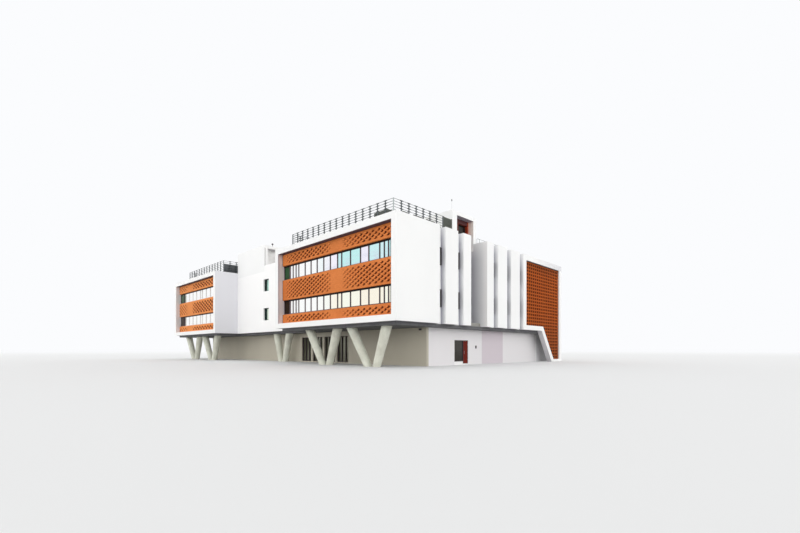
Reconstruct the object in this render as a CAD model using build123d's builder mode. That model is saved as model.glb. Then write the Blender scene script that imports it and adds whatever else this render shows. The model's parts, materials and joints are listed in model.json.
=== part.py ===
"""Office building: two wings in white frames, joined by a set-back link.

Built at half the real size, in millimetres, so 2000 mm here is 4 m of the real building.
+Z is up, the front with the terracotta bands faces -Y and the side with the fins faces +X.
The origin is on the ground, in the middle of the building's plan.
"""
from build123d import *
from math import hypot
import os

os.makedirs("parts", exist_ok=True)

# Plan of the upper storeys
building_width = 28050
building_depth = 16715
wing_a_width = 10150
wing_b_width = 8980
link_setback = 1740

# Heights above the ground
first_floor_level = 2260
storey_height = 2030
parapet_height = 410
slab_thickness = 200
soffit_thickness = 150
soffit_inset = 300

# Outer walls and the white frames of the wings
wall = 150
frame_post = 325
upper_beam = 305
lower_beam = 285

# Window strips and terracotta bands of the wings, from the white frame's face inwards
window_sill = 620
window_height = 850
band_recess = 300
band_thickness = 175
window_frame_depth = 60
strip_setback = 100
strip_frame_depth = 25
window_rail = 50
mullion_width = 45
glass_thickness = 12
side_frame_bar = 35
# Relative widths of the bays of a strip, from the left
wing_a_bays = (645, 330, 313, 287, 660, 585, 584, 609, 586, 622, 338, 702, 758, 606, 749, 304, 278,
               165, 427)
wing_b_bays = (830, 415, 830, 830, 830, 830, 415, 830, 830, 830, 415, 415)

# Fins, gaps and slot of the right side, from the front corner backwards
pier_length = 2910
gap_width = 455
wide_fin = 1005
narrow_fin = 670
last_fin = 1045
slot_width = 1530
fin_depth = 300
left_fin_count = 7
glass_lap = 40

# Framed screen at the back of the right side
screen_post = 385
screen_band = 335
screen_slope_start = 2490
screen_slope_run = 1525
screen_foot = 165
screen_recess = 60
screen_thickness = 50
screen_head_gap = 90
screen_course_pitch = 210
screen_hole_height = 105
screen_hole_pitch = 246
screen_hole_width = 186
screen_window_count = 3
screen_window_width = 1300

# Towers that stand on the roof
tower_height = 8200
tower_setback = 900
tower_length = 4245
tower_near_jamb = 410
tower_far_jamb = 250
tower_b_near_jamb = 260
tower_lintel = 200
portal_depth = 510
curtain_bar = 110
curtain_depth = 170
panel_thickness = 60
curtain_rows = 6

# Link front and back
link_window_width = 750
link_window_lap = 125
back_window_count = 5
back_window_width = 1100

# Ground floor
ground_side_setback = 900
ground_front_setback = 3000
ground_back_setback = 2040
ground_slab_thickness = 60
door_width = 470
door_thickness = 25
door_clearance = 6
door_handle_length = 180
door_handle_diameter = 14
door_handle_standoff = 30
door_handle_stud_diameter = 9
door_handle_stud_spacing = 126
hinge_count = 3
hinge_height = 56
hinge_radius = 6
hinge_pin_radius = 3
hinge_play = 0.3
hinge_plate_width = 26
hinge_plate_thickness = 3
entrance_height = 1265
entrance_window_width = 760
entrance_window_sill = 125
entrance_bar = 35
entrance_frame_depth = 70
shop_window_count = 4
shop_window_width = 1130
shop_window_pier = 170
shop_window_height = 1640
shop_window_start = 7000
shop_window_mullions = 2

# Raking columns
column_top_diameter = 500
column_base_diameter = 390
column_setback = 850
column_base_gap = 590
column_outer_lean = 1250
column_inner_lean = 700
wing_a_column_places = (2470, 6200)
wing_b_column_places = (2600, 6330)
link_column_setback = 2400
link_column_place = 3250
link_column_lean = 560
link_column_gap = 520

# Roof railings, louvre panels and plant
railing_setback = 520
railing_side_setback = 700
railing_b_setback = 805
railing_b_side_setback = 400
railing_height = 1230
railing_b_height = 1340
railing_bay = 522
railing_b_bay = 553
railing_side_bay = 500
railing_post = 40
railing_bar = 14
railing_bars = 10
railing_front_bays = 16
railing_b_front_bays = 13
railing_side_bays = 7
railing_foot_height = 90
louvre_length = 850
louvre_b_length = 1700
louvre_b_height = 1050
louvre_b_inset = 100
louvre_thickness = 60
louvre_post = 40
louvre_pitch = 50
louvre_blade = 12
plant_height = 1150
plant_setback = 1175
plant_right_setback = 1755
plant_width = 950
plant_depth = 780
duct_right_setback = 1425
duct_width = 300
# Gap and length of each piece of roof duct, from the plant's front backwards
duct_runs = ((700, 420), (360, 760), (230, 640))
mast_height = 600
mast_diameter = 24
mast_tip_length = 90
mast_tip_diameter = 44

# Values worked out from the sizes above
x_right = building_width / 2
x_left = -building_width / 2
y_front = -building_depth / 2
y_back = building_depth / 2
wing_a_left = x_right - wing_a_width
wing_b_right = x_left + wing_b_width
link_front = y_front + link_setback
link_back = y_back - link_setback
box_bottom = first_floor_level - slab_thickness
soffit_level = box_bottom - soffit_thickness
second_floor_level = first_floor_level + storey_height
roof_level = second_floor_level + storey_height
parapet_top = roof_level + parapet_height
floor_levels = (first_floor_level, second_floor_level)
slab_levels = (first_floor_level, second_floor_level, roof_level)
facade_depth = band_recess + band_thickness
side_wall_depth = fin_depth + wall
right_inner = x_right - side_wall_depth
left_inner = x_left + side_wall_depth
slot_start = y_front + pier_length + gap_width + wide_fin + gap_width + narrow_fin
slot_end = slot_start + slot_width
slot_centre = (slot_start + slot_end) / 2
screen_start = slot_end + narrow_fin + gap_width + wide_fin + gap_width + last_fin + gap_width
tower_face = x_right - tower_setback
portal_back = tower_face - portal_depth
ground_left = x_left + ground_side_setback
ground_right = x_right - ground_side_setback
ground_front = y_front + ground_front_setback
ground_back = y_back - ground_back_setback
window_rows = [(level + window_sill, level + window_sill + window_height) for level in floor_levels]


def front_view(y):
    """Return the upright plane at y whose sketches are drawn in X and Z."""
    return Plane(origin=(0, y, 0), x_dir=(1, 0, 0), z_dir=(0, -1, 0))


def side_view(x):
    """Return the upright plane at x whose sketches are drawn in Y and Z."""
    return Plane(origin=(x, 0, 0), x_dir=(0, 1, 0), z_dir=(1, 0, 0))


def area(u_low, u_high, v_low, v_high, mode=Mode.ADD):
    """Draw one rectangle, by its edges, in the sketch that is open."""
    with Locations(((u_low + u_high) / 2, (v_low + v_high) / 2)):
        Rectangle(u_high - u_low, v_high - v_low, mode=mode)


def frame_area(u_low, u_high, v_low, v_high, bar):
    """Draw one window frame, by its outer edges and its bar's width, in the sketch that is open."""
    area(u_low, u_high, v_low, v_high)
    area(u_low + bar, u_high - bar, v_low + bar, v_high - bar, mode=Mode.SUBTRACT)


def block(x_low, x_high, y_low, y_high, z_low, z_high, mode=Mode.ADD):
    """Add or cut an upright block, by its edges, in the part that is open."""
    with BuildSketch(Plane.XY.offset(z_low)) as footprint:
        area(x_low, x_high, y_low, y_high)
    extrude(footprint.sketch, amount=z_high - z_low, mode=mode)


def save(piece, name):
    """Label a finished piece and write its file."""
    piece.part.label = name
    export_step(piece.part, f"parts/{name}.step")


# Floors of the two wings, with the slot of the entrance side cut out above the first floor
with BuildPart() as wing_floors:
    for level in slab_levels:
        block(wing_a_left + frame_post, right_inner, y_front + facade_depth, y_back - facade_depth,
              level - slab_thickness, level)
        block(left_inner, wing_b_right - frame_post, y_front + facade_depth, y_back - facade_depth,
              level - slab_thickness, level)
    block(portal_back, right_inner, slot_start - wall, slot_end + wall,
          first_floor_level, roof_level, mode=Mode.SUBTRACT)
save(wing_floors, "wing_floors")

# Floors of the link between the wings
with BuildPart() as link_floors:
    for level in slab_levels:
        block(wing_b_right - frame_post, wing_a_left + frame_post, link_front + wall, link_back - wall,
              level - slab_thickness, level)
save(link_floors, "link_floors")

# Set-back soffits under the wings and under the link
with BuildPart() as wing_soffits:
    block(wing_a_left + soffit_inset, x_right - soffit_inset, y_front + soffit_inset,
          y_back - soffit_inset, soffit_level, box_bottom)
    block(x_left + soffit_inset, wing_b_right - soffit_inset, y_front + soffit_inset,
          y_back - soffit_inset, soffit_level, box_bottom)
save(wing_soffits, "wing_soffits")

with BuildPart() as link_soffit:
    block(wing_b_right - soffit_inset, wing_a_left + soffit_inset, link_front + soffit_inset,
          link_back - soffit_inset, soffit_level, box_bottom)
save(link_soffit, "link_soffit")

# Blank corner pier of the right side, rebated behind the front frame's post
with BuildPart() as right_pier:
    block(right_inner, x_right, y_front, y_front + pier_length, box_bottom, parapet_top)
    block(right_inner, x_right - frame_post, y_front, y_front + facade_depth, box_bottom, parapet_top,
          mode=Mode.SUBTRACT)
save(right_pier, "right_pier")

# Free-standing fins of the right side
fin_starts = []
position = y_front + pier_length + gap_width
for fin_width, space_after in ((wide_fin, gap_width), (narrow_fin, slot_width), (narrow_fin, gap_width),
                               (wide_fin, gap_width), (last_fin, gap_width)):
    fin_starts.append((position, fin_width))
    position += fin_width + space_after
with BuildPart() as right_fins:
    for start, fin_width in fin_starts:
        block(x_right - fin_depth, x_right, start, start + fin_width, box_bottom, parapet_top)
save(right_fins, "right_fins")

# Wall behind the fins, with tall windows at the back of each gap and behind the screen
right_gaps = [start - gap_width for start, fin_width in fin_starts if start != slot_end]
right_gaps.append(screen_start - gap_width)
screen_inner_start = screen_start + screen_post
screen_inner_end = y_back - screen_band
screen_window_pitch = (screen_inner_end - screen_inner_start) / screen_window_count
right_windows = [(start, start + gap_width) for start in right_gaps]
for index in range(screen_window_count):
    middle = screen_inner_start + screen_window_pitch * (index + 0.5)
    right_windows.append((middle - screen_window_width / 2, middle + screen_window_width / 2))
with BuildPart() as right_recess_wall:
    block(right_inner, right_inner + wall, y_front + pier_length, slot_start, box_bottom, parapet_top)
    block(right_inner, right_inner + wall, slot_end, y_back, box_bottom, parapet_top)
    with BuildSketch(side_view(right_inner)):
        for sill, head in window_rows:
            for low, high in right_windows:
                area(low, high, sill, head)
    extrude(amount=wall, mode=Mode.SUBTRACT)
save(right_recess_wall, "right_recess_wall")

# Two walls that line the slot, stepped down under the tower's jambs
with BuildPart() as slot_walls:
    for inner, outer in ((slot_start - wall, slot_start), (slot_end, slot_end + wall)):
        block(portal_back, right_inner, inner, outer, first_floor_level, parapet_top)
        block(portal_back, tower_face, inner, outer, roof_level, parapet_top, mode=Mode.SUBTRACT)
save(slot_walls, "slot_walls")


# White frame of the screen, whose lower edge slopes down to a foot on the ground
slope_start = screen_start + screen_slope_start
slope_per_height = screen_slope_run / box_bottom
slope_shift = screen_band * hypot(screen_slope_run, box_bottom) / box_bottom
screen_sill = box_bottom + lower_beam
screen_head = parapet_top - screen_band
screen_outline = [
    (screen_inner_start, screen_sill),
    (slope_start + slope_shift - lower_beam * slope_per_height, screen_sill),
    (slope_start + slope_shift + (box_bottom - screen_foot) * slope_per_height, screen_foot),
    (screen_inner_end, screen_foot),
    (screen_inner_end, screen_head),
    (screen_inner_start, screen_head),
]
with BuildPart() as screen_frame:
    with BuildSketch(side_view(x_right - fin_depth)):
        with BuildLine():
            Polyline((screen_start, box_bottom), (slope_start, box_bottom),
                     (slope_start + screen_slope_run, 0), (y_back, 0), (y_back, parapet_top),
                     (screen_start, parapet_top), close=True)
        make_face()
        with BuildLine():
            Polyline(*screen_outline, close=True)
        make_face(mode=Mode.SUBTRACT)
    extrude(amount=fin_depth)
save(screen_frame, "screen_frame")

# Terracotta screen of courses and uprights with holes between them, and a gap above it
screen_columns = int((screen_inner_end - screen_inner_start) / screen_hole_pitch)
screen_courses = int((screen_head - screen_foot) / screen_course_pitch)
with BuildPart() as terracotta_screen:
    with BuildSketch(side_view(x_right - screen_recess - screen_thickness)) as screen_face:
        with BuildLine():
            Polyline(*screen_outline, close=True)
        make_face()
        area(screen_inner_start, screen_inner_end, screen_head - screen_head_gap, screen_head,
             mode=Mode.SUBTRACT)
        with Locations(((screen_inner_start + screen_inner_end) / 2, (screen_foot + screen_head) / 2)):
            with GridLocations(screen_hole_pitch, screen_course_pitch, screen_columns, screen_courses):
                Rectangle(screen_hole_width, screen_hole_height, mode=Mode.SUBTRACT)
    extrude(amount=screen_thickness)
save(terracotta_screen, "terracotta_screen")

# Left side: a pier at each end and a row of like fins, with a window behind each gap
left_gap_count = left_fin_count + 1
left_run = building_depth - 2 * pier_length
left_fin_width = (left_run - left_gap_count * gap_width) / left_fin_count
left_gaps = [y_front + pier_length + index * (left_fin_width + gap_width) for index in range(left_gap_count)]
with BuildPart() as left_piers:
    for low, high in ((y_front, y_front + pier_length), (y_back - pier_length, y_back)):
        block(x_left, left_inner, low, high, box_bottom, parapet_top)
    for low, high in ((y_front, y_front + facade_depth), (y_back - facade_depth, y_back)):
        block(x_left + frame_post, left_inner, low, high, box_bottom, parapet_top, mode=Mode.SUBTRACT)
save(left_piers, "left_piers")

with BuildPart() as left_fins:
    for start in left_gaps[1:]:
        block(x_left, x_left + fin_depth, start - left_fin_width, start, box_bottom, parapet_top)
save(left_fins, "left_fins")

with BuildPart() as left_recess_wall:
    block(left_inner - wall, left_inner, y_front + pier_length, y_back - pier_length, box_bottom, parapet_top)
    with BuildSketch(side_view(left_inner - wall)):
        for sill, head in window_rows:
            for start in left_gaps:
                area(start, start + gap_width, sill, head)
    extrude(amount=wall, mode=Mode.SUBTRACT)
save(left_recess_wall, "left_recess_wall")

# Frames in the windows of both sides, and the sheets of glass behind their walls
with BuildPart() as side_window_frames:
    with BuildSketch(side_view(right_inner)):
        for sill, head in window_rows:
            for low, high in right_windows:
                frame_area(low, high, sill, head, side_frame_bar)
    extrude(amount=window_frame_depth)
    with BuildSketch(side_view(left_inner)):
        for sill, head in window_rows:
            for start in left_gaps:
                frame_area(start, start + gap_width, sill, head, side_frame_bar)
    extrude(amount=-window_frame_depth)
save(side_window_frames, "side_window_frames")

with BuildPart() as side_window_glass:
    with BuildSketch(side_view(right_inner)):
        for sill, head in window_rows:
            for low, high in ((y_front + pier_length, slot_start - wall),
                              (slot_end + wall, y_back - facade_depth)):
                area(low, high, sill - glass_lap, head + glass_lap)
    extrude(amount=-glass_thickness)
    with BuildSketch(side_view(left_inner)):
        for sill, head in window_rows:
            area(y_front + pier_length, y_back - pier_length, sill - glass_lap, head + glass_lap)
    extrude(amount=glass_thickness)
save(side_window_glass, "side_window_glass")

# Short side walls where the wings stand in front of the link and behind it
with BuildPart() as wing_returns:
    for low, high in ((y_front, link_front + wall), (link_back - wall, y_back)):
        block(wing_a_left, wing_a_left + frame_post, low, high, box_bottom, parapet_top)
        block(wing_b_right - frame_post, wing_b_right, low, high, box_bottom, parapet_top)
save(wing_returns, "wing_returns")

# Fronts and backs of the wings: lowest x, highest x, face y, direction inwards, window bays
(first_sill, first_head), (second_sill, second_head) = window_rows
band_rows = [(box_bottom + lower_beam, first_sill), (first_head, second_sill),
             (second_head, parapet_top - upper_beam)]
beam_rows = [(box_bottom, box_bottom + lower_beam), (parapet_top - upper_beam, parapet_top)]
facades = {
    "front": [(wing_a_left + frame_post, x_right - frame_post, y_front, 1, wing_a_bays),
              (x_left + frame_post, wing_b_right - frame_post, y_front, 1, wing_b_bays)],
    "back": [(wing_a_left + frame_post, right_inner, y_back, -1, wing_b_bays),
             (x_left + frame_post, wing_b_right - frame_post, y_back, -1, wing_b_bays)],
}
for name, stretches in facades.items():
    with BuildPart() as facade_beams:
        for low, high, face, inwards, bays in stretches:
            inner = face + inwards * facade_depth
            for bottom, top in beam_rows:
                block(low, high, min(face, inner), max(face, inner), bottom, top)
    save(facade_beams, f"{name}_beams")

    with BuildPart() as facade_bands:
        for low, high, face, inwards, bays in stretches:
            outer = face + inwards * band_recess
            inner = face + inwards * facade_depth
            for bottom, top in band_rows:
                block(low, high, min(outer, inner), max(outer, inner), bottom, top)
    save(facade_bands, f"{name}_terracotta")

    with BuildPart() as facade_frames:
        for low, high, face, inwards, bays in stretches:
            mullions = [low + (high - low) * sum(bays[:index]) / sum(bays) for index in range(1, len(bays))]
            frame_face = face + inwards * (band_recess + strip_setback)
            for sill, head in window_rows:
                with BuildSketch(front_view(frame_face)):
                    area(low, high, sill, head)
                    area(low + window_rail, high - window_rail, sill + window_rail, head - window_rail,
                         mode=Mode.SUBTRACT)
                    with Locations(*[(x, (sill + head) / 2) for x in mullions]):
                        Rectangle(mullion_width, head - sill)
                extrude(amount=-inwards * strip_frame_depth)
    save(facade_frames, f"{name}_window_frames")

    with BuildPart() as facade_glass:
        for low, high, face, inwards, bays in stretches:
            outer = face + inwards * (band_recess + strip_setback + strip_frame_depth)
            inner = outer + inwards * glass_thickness
            for sill, head in window_rows:
                block(low, high, min(outer, inner), max(outer, inner), sill, head)
    save(facade_glass, f"{name}_window_glass")

# Walls of the link; the front one stops at the roof where tower B stands on it
tower_width = tower_near_jamb + slot_width + tower_far_jamb
tower_b_face = wing_b_right + tower_length
link_window_low = tower_b_face - link_window_lap
link_window_high = link_window_low + link_window_width
back_pitch = (wing_a_left - wing_b_right) / back_window_count
back_windows = [wing_b_right + back_pitch * (index + 0.5) for index in range(back_window_count)]
with BuildPart() as link_front_wall:
    with BuildSketch(front_view(link_front)):
        area(wing_b_right, wing_a_left, box_bottom, parapet_top)
        area(wing_b_right, tower_b_face, roof_level, parapet_top, mode=Mode.SUBTRACT)
        for sill, head in window_rows:
            area(link_window_low, link_window_high, sill, head, mode=Mode.SUBTRACT)
    extrude(amount=-wall)
save(link_front_wall, "link_front_wall")

with BuildPart() as link_back_wall:
    with BuildSketch(front_view(link_back)):
        area(wing_b_right, wing_a_left, box_bottom, parapet_top)
        for sill, head in window_rows:
            for x in back_windows:
                area(x - back_window_width / 2, x + back_window_width / 2, sill, head, mode=Mode.SUBTRACT)
    extrude(amount=wall)
save(link_back_wall, "link_back_wall")

with BuildPart() as link_window_frames:
    for sill, head in window_rows:
        with BuildSketch(front_view(link_front + wall)):
            frame_area(link_window_low, link_window_high, sill, head, side_frame_bar)
        extrude(amount=window_frame_depth)
        with BuildSketch(front_view(link_back - wall)):
            for x in back_windows:
                frame_area(x - back_window_width / 2, x + back_window_width / 2, sill, head, side_frame_bar)
        extrude(amount=-window_frame_depth)
save(link_window_frames, "link_window_frames")

with BuildPart() as link_glass:
    for sill, head in window_rows:
        block(link_window_low - glass_lap, link_window_high + glass_lap,
              link_front + wall, link_front + wall + glass_thickness, sill - glass_lap, head + glass_lap)
        block(wing_b_right, wing_a_left, link_back - wall - glass_thickness, link_back - wall,
              sill - glass_lap, head + glass_lap)
save(link_glass, "link_glass")

# Towers: hollow boxes on the roof, each with one tall opening towards +X
for name, face, near, near_jamb in (("tower_a", tower_face, slot_start - tower_near_jamb, tower_near_jamb),
                                    ("tower_b", tower_b_face, link_front, tower_b_near_jamb)):
    opening = near + near_jamb
    with BuildPart() as tower:
        block(face - tower_length, face, near, near + tower_width, roof_level, tower_height)
        block(face - tower_length + wall, face - portal_depth, near + wall, near + tower_width - wall,
              roof_level, tower_height - tower_lintel, mode=Mode.SUBTRACT)
        block(face - portal_depth, face, opening, opening + slot_width,
              roof_level, tower_height - tower_lintel, mode=Mode.SUBTRACT)
    save(tower, name)

# Tall red frame that closes the slot at the back of the portal, and its glass
curtain_top = tower_height - tower_lintel
curtain_pitch = (curtain_top - first_floor_level) / curtain_rows
with BuildPart() as slot_frame:
    with BuildSketch(side_view(portal_back + glass_thickness)):
        area(slot_start, slot_end, first_floor_level, curtain_top)
        for index in range(curtain_rows):
            pane_bottom = first_floor_level + index * curtain_pitch
            for pane_low, pane_high in ((slot_start + curtain_bar, slot_centre - curtain_bar / 2),
                                        (slot_centre + curtain_bar / 2, slot_end - curtain_bar)):
                area(pane_low, pane_high, pane_bottom + curtain_bar, pane_bottom + curtain_pitch,
                     mode=Mode.SUBTRACT)
        area(slot_start, slot_end, curtain_top - curtain_bar, curtain_top)
    extrude(amount=curtain_depth - glass_thickness)
save(slot_frame, "slot_frame")

with BuildPart() as slot_glass:
    block(portal_back, portal_back + glass_thickness, slot_start, slot_end, first_floor_level, curtain_top)
save(slot_glass, "slot_glass")

with BuildPart() as tower_b_panel:
    panel_start = link_front + tower_b_near_jamb
    block(tower_b_face - portal_depth, tower_b_face - portal_depth + panel_thickness, panel_start,
          panel_start + slot_width, roof_level, tower_height - tower_lintel)
save(tower_b_panel, "tower_b_panel")

with BuildPart() as mast:
    for start, length, diameter in ((0, mast_height - mast_tip_length, mast_diameter),
                                    (mast_height - mast_tip_length, mast_tip_length, mast_tip_diameter)):
        with BuildSketch(Plane.XY.offset(tower_height + start)):
            with Locations((tower_face - wall, slot_start - tower_near_jamb + wall)):
                Circle(diameter / 2)
        extrude(amount=length)
save(mast, "mast")

# Ground floor: floor plate, walls and windows
entrance_start = slot_centre - door_width / 2 - entrance_window_width
entrance_end = slot_centre + door_width / 2
door_low = slot_centre - door_width / 2
entrance_top = ground_slab_thickness + entrance_height
shop_pitch = shop_window_width + shop_window_pier
shop_windows = [x_right - shop_window_start - shop_pitch * index for index in range(shop_window_count)]
with BuildPart() as ground_slab:
    block(ground_left + wall, ground_right - wall, ground_front + wall, ground_back - wall,
          0, ground_slab_thickness)
save(ground_slab, "ground_slab")

for name, y, inwards in (("ground_front_wall", ground_front, 1), ("ground_back_wall", ground_back, -1)):
    with BuildPart() as ground_wall:
        with BuildSketch(front_view(y)):
            area(ground_left, ground_right, 0, soffit_level)
            for x in shop_windows:
                area(x - shop_window_width, x, ground_slab_thickness, shop_window_height, mode=Mode.SUBTRACT)
        extrude(amount=-inwards * wall)
    save(ground_wall, name)

with BuildPart() as shop_window_frames:
    for y, outwards in ((ground_front + wall, 1), (ground_back - wall, -1)):
        with BuildSketch(front_view(y)):
            for x in shop_windows:
                frame_area(x - shop_window_width, x, ground_slab_thickness, shop_window_height,
                           side_frame_bar)
                with Locations((x - shop_window_width / 2, (ground_slab_thickness + shop_window_height) / 2)):
                    with GridLocations(shop_window_width / (shop_window_mullions + 1), 0,
                                       shop_window_mullions, 1):
                        Rectangle(side_frame_bar, shop_window_height - ground_slab_thickness)
        extrude(amount=outwards * window_frame_depth)
save(shop_window_frames, "shop_window_frames")

with BuildPart() as ground_glass:
    for low in (ground_front + wall, ground_back - wall - glass_thickness):
        block(shop_windows[-1] - shop_window_width - glass_lap, shop_windows[0] + glass_lap,
              low, low + glass_thickness, ground_slab_thickness, shop_window_height + glass_lap)
save(ground_glass, "ground_glass")

with BuildPart() as ground_side_walls:
    block(ground_left, ground_left + wall, ground_front + wall, ground_back - wall, 0, soffit_level)
    block(ground_right - wall, ground_right, ground_front + wall, entrance_start, 0, soffit_level)
    block(ground_right - wall, ground_right, entrance_end, ground_back - wall, 0, soffit_level)
save(ground_side_walls, "ground_side_walls")

with BuildPart() as entrance_lintel:
    block(ground_right - wall, ground_right, entrance_start, entrance_end, entrance_top, soffit_level)
save(entrance_lintel, "entrance_lintel")

with BuildPart() as entrance_sill:
    block(ground_right - wall, ground_right, entrance_start, door_low,
          0, ground_slab_thickness + entrance_window_sill)
    block(ground_right - wall, ground_right, door_low, entrance_end, 0, ground_slab_thickness)
save(entrance_sill, "entrance_sill")

# Entrance frame, its side window and the door leaf that swings outwards
leaf_low = door_low + entrance_bar + door_clearance
leaf_high = entrance_end - entrance_bar - door_clearance
leaf_bottom = ground_slab_thickness + door_clearance
leaf_top = entrance_top - entrance_bar - door_clearance
with BuildPart() as entrance_frame:
    with BuildSketch(side_view(ground_right - entrance_frame_depth)):
        area(entrance_start, entrance_end, ground_slab_thickness + entrance_window_sill, entrance_top)
        area(door_low, entrance_end, ground_slab_thickness, entrance_top)
        area(entrance_start + entrance_bar, door_low,
             ground_slab_thickness + entrance_window_sill + entrance_bar, entrance_top - entrance_bar,
             mode=Mode.SUBTRACT)
        area(door_low + entrance_bar, entrance_end - entrance_bar,
             ground_slab_thickness, entrance_top - entrance_bar, mode=Mode.SUBTRACT)
    extrude(amount=entrance_frame_depth)
save(entrance_frame, "entrance_frame")

with BuildPart() as entrance_window:
    with BuildSketch(side_view(ground_right - (entrance_frame_depth + glass_thickness) / 2)):
        area(entrance_start + entrance_bar, door_low,
             ground_slab_thickness + entrance_window_sill + entrance_bar, entrance_top - entrance_bar)
    extrude(amount=glass_thickness)
save(entrance_window, "entrance_window")

with BuildPart() as entrance_door:
    block(ground_right - door_thickness, ground_right, leaf_low, leaf_high, leaf_bottom, leaf_top)
save(entrance_door, "entrance_door")

handle_y = leaf_low + door_handle_standoff + door_handle_diameter
handle_middle = (leaf_bottom + leaf_top) / 2
with BuildPart() as door_handle:
    with BuildSketch(Plane.XY.offset(handle_middle - door_handle_length / 2)):
        with Locations((ground_right + door_handle_standoff, handle_y)):
            Circle(door_handle_diameter / 2)
    extrude(amount=door_handle_length)
    with BuildSketch(side_view(ground_right)):
        with Locations((handle_y, handle_middle)):
            with GridLocations(0, door_handle_stud_spacing, 1, 2):
                Circle(door_handle_stud_diameter / 2)
    extrude(amount=door_handle_standoff)
save(door_handle, "door_handle")

# Hinges: a knuckle with a pin on the frame, and a bored knuckle over it on the door
hinge_x = ground_right + hinge_radius
hinge_y = leaf_high + door_clearance / 2
hinge_levels = [leaf_bottom + (leaf_top - leaf_bottom) * (index + 0.5) / hinge_count
                for index in range(hinge_count)]


def knuckle(bottom, height, plate_side):
    """Add a hinge knuckle and its plate, which lies to the side plate_side of the hinge line."""
    with BuildSketch(Plane.XY.offset(bottom)) as section:
        with Locations((hinge_x, hinge_y)):
            Circle(hinge_radius)
        area(ground_right, ground_right + hinge_plate_thickness,
             min(hinge_y, hinge_y + plate_side * hinge_plate_width),
             max(hinge_y, hinge_y + plate_side * hinge_plate_width))
    extrude(section.sketch, amount=height)


def pin(radius, bottom, height, mode=Mode.ADD):
    """Add or cut a round pin on the hinge line."""
    with BuildSketch(Plane.XY.offset(bottom)) as section:
        with Locations((hinge_x, hinge_y)):
            Circle(radius)
    extrude(section.sketch, amount=height, mode=mode)


with BuildPart() as frame_hinges:
    for middle in hinge_levels:
        knuckle(middle - hinge_height / 2, hinge_height / 2 - hinge_play, 1)
        pin(hinge_pin_radius, middle - hinge_play, hinge_height / 2)
save(frame_hinges, "frame_hinges")

with BuildPart() as door_hinges:
    for middle in hinge_levels:
        knuckle(middle, hinge_height / 2, -1)
        pin(hinge_pin_radius + hinge_play, middle, hinge_height / 2, mode=Mode.SUBTRACT)
save(door_hinges, "door_hinges")

# Raking columns in pairs: one leg leans to the left, the other a little to the right
def raking_leg(foot, head, y):
    """Add one round leg that widens along its own line, a diameter longer than needed at each end."""
    line = Vector(head - foot, 0, soffit_level)
    widening = (column_top_diameter - column_base_diameter) / 2 / line.length
    spare = column_top_diameter
    start = Vector(foot, y, 0) - line.normalized() * spare
    with Locations(Plane(origin=start, z_dir=line).location):
        Cone(column_base_diameter / 2 - widening * spare, column_top_diameter / 2 + widening * spare,
             line.length + 2 * spare, align=(Align.CENTER, Align.CENTER, Align.MIN))


def raking_pair(x, y, gap, left_lean, right_lean):
    """Add the two legs of a pair, whose feet lie to both sides of x."""
    raking_leg(x - gap / 2, x - gap / 2 - left_lean, y)
    raking_leg(x + gap / 2, x + gap / 2 + right_lean, y)


with BuildPart() as wing_columns:
    for edge, places in ((x_right, wing_a_column_places), (wing_b_right, wing_b_column_places)):
        for place in places:
            raking_pair(edge - place, y_front + column_setback, column_base_gap,
                        column_outer_lean, column_inner_lean)
    block(x_left, x_right, y_front, y_back, 0, soffit_level, mode=Mode.INTERSECT)
save(wing_columns, "wing_columns")

with BuildPart() as link_columns:
    raking_pair(wing_a_left - link_column_place, y_front + link_column_setback, link_column_gap,
                link_column_lean, link_column_lean)
    block(x_left, x_right, y_front, y_back, 0, soffit_level, mode=Mode.INTERSECT)
save(link_columns, "link_columns")


# Roof railings: posts and level bars between them, drawn from the side and fused where they cross
railing_corner_x = x_right - railing_side_setback
railing_b_corner_x = wing_b_right - railing_b_side_setback
railing_y = y_front + railing_setback
railing_b_y = y_front + railing_b_setback
railing_side_length = railing_side_bays * railing_side_bay


def draw_posts(low, high, bays, height):
    """Draw the posts of a run from low to high, with a wider foot, in the sketch that is open."""
    for index in range(bays + 1):
        post = low + (high - low) * index / bays
        area(post - railing_post / 2, post + railing_post / 2, roof_level, roof_level + height)
        area(post - railing_post, post + railing_post, roof_level, roof_level + railing_foot_height)


def draw_bars(low, high, height):
    """Draw the level bars of a run from low to high in the sketch that is open."""
    for index in range(railing_bars):
        top = roof_level + height * (index + 1) / railing_bars
        area(low - railing_bar / 2, high + railing_bar / 2, top - railing_bar, top)


for name, corner_x, front_y, bays, bay, height in (
        ("wing_a_railing", railing_corner_x, railing_y, railing_front_bays, railing_bay, railing_height),
        ("wing_b_railing", railing_b_corner_x, railing_b_y, railing_b_front_bays, railing_b_bay,
         railing_b_height)):
    far_x = corner_x - bays * bay
    side_end = front_y + railing_side_length
    with BuildPart() as railing:
        with BuildSketch(front_view(front_y)):
            draw_posts(far_x, corner_x, bays, height)
        extrude(amount=railing_post / 2, both=True)
        with BuildSketch(front_view(front_y)):
            draw_bars(far_x, corner_x, height)
        extrude(amount=railing_bar / 2, both=True)
        for x in (far_x, corner_x):
            with BuildSketch(side_view(x)):
                draw_posts(front_y, side_end, railing_side_bays, height)
            extrude(amount=railing_post / 2, both=True)
            with BuildSketch(side_view(x)):
                draw_bars(front_y, side_end, height)
            extrude(amount=railing_bar / 2, both=True)
    save(railing, name)

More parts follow.
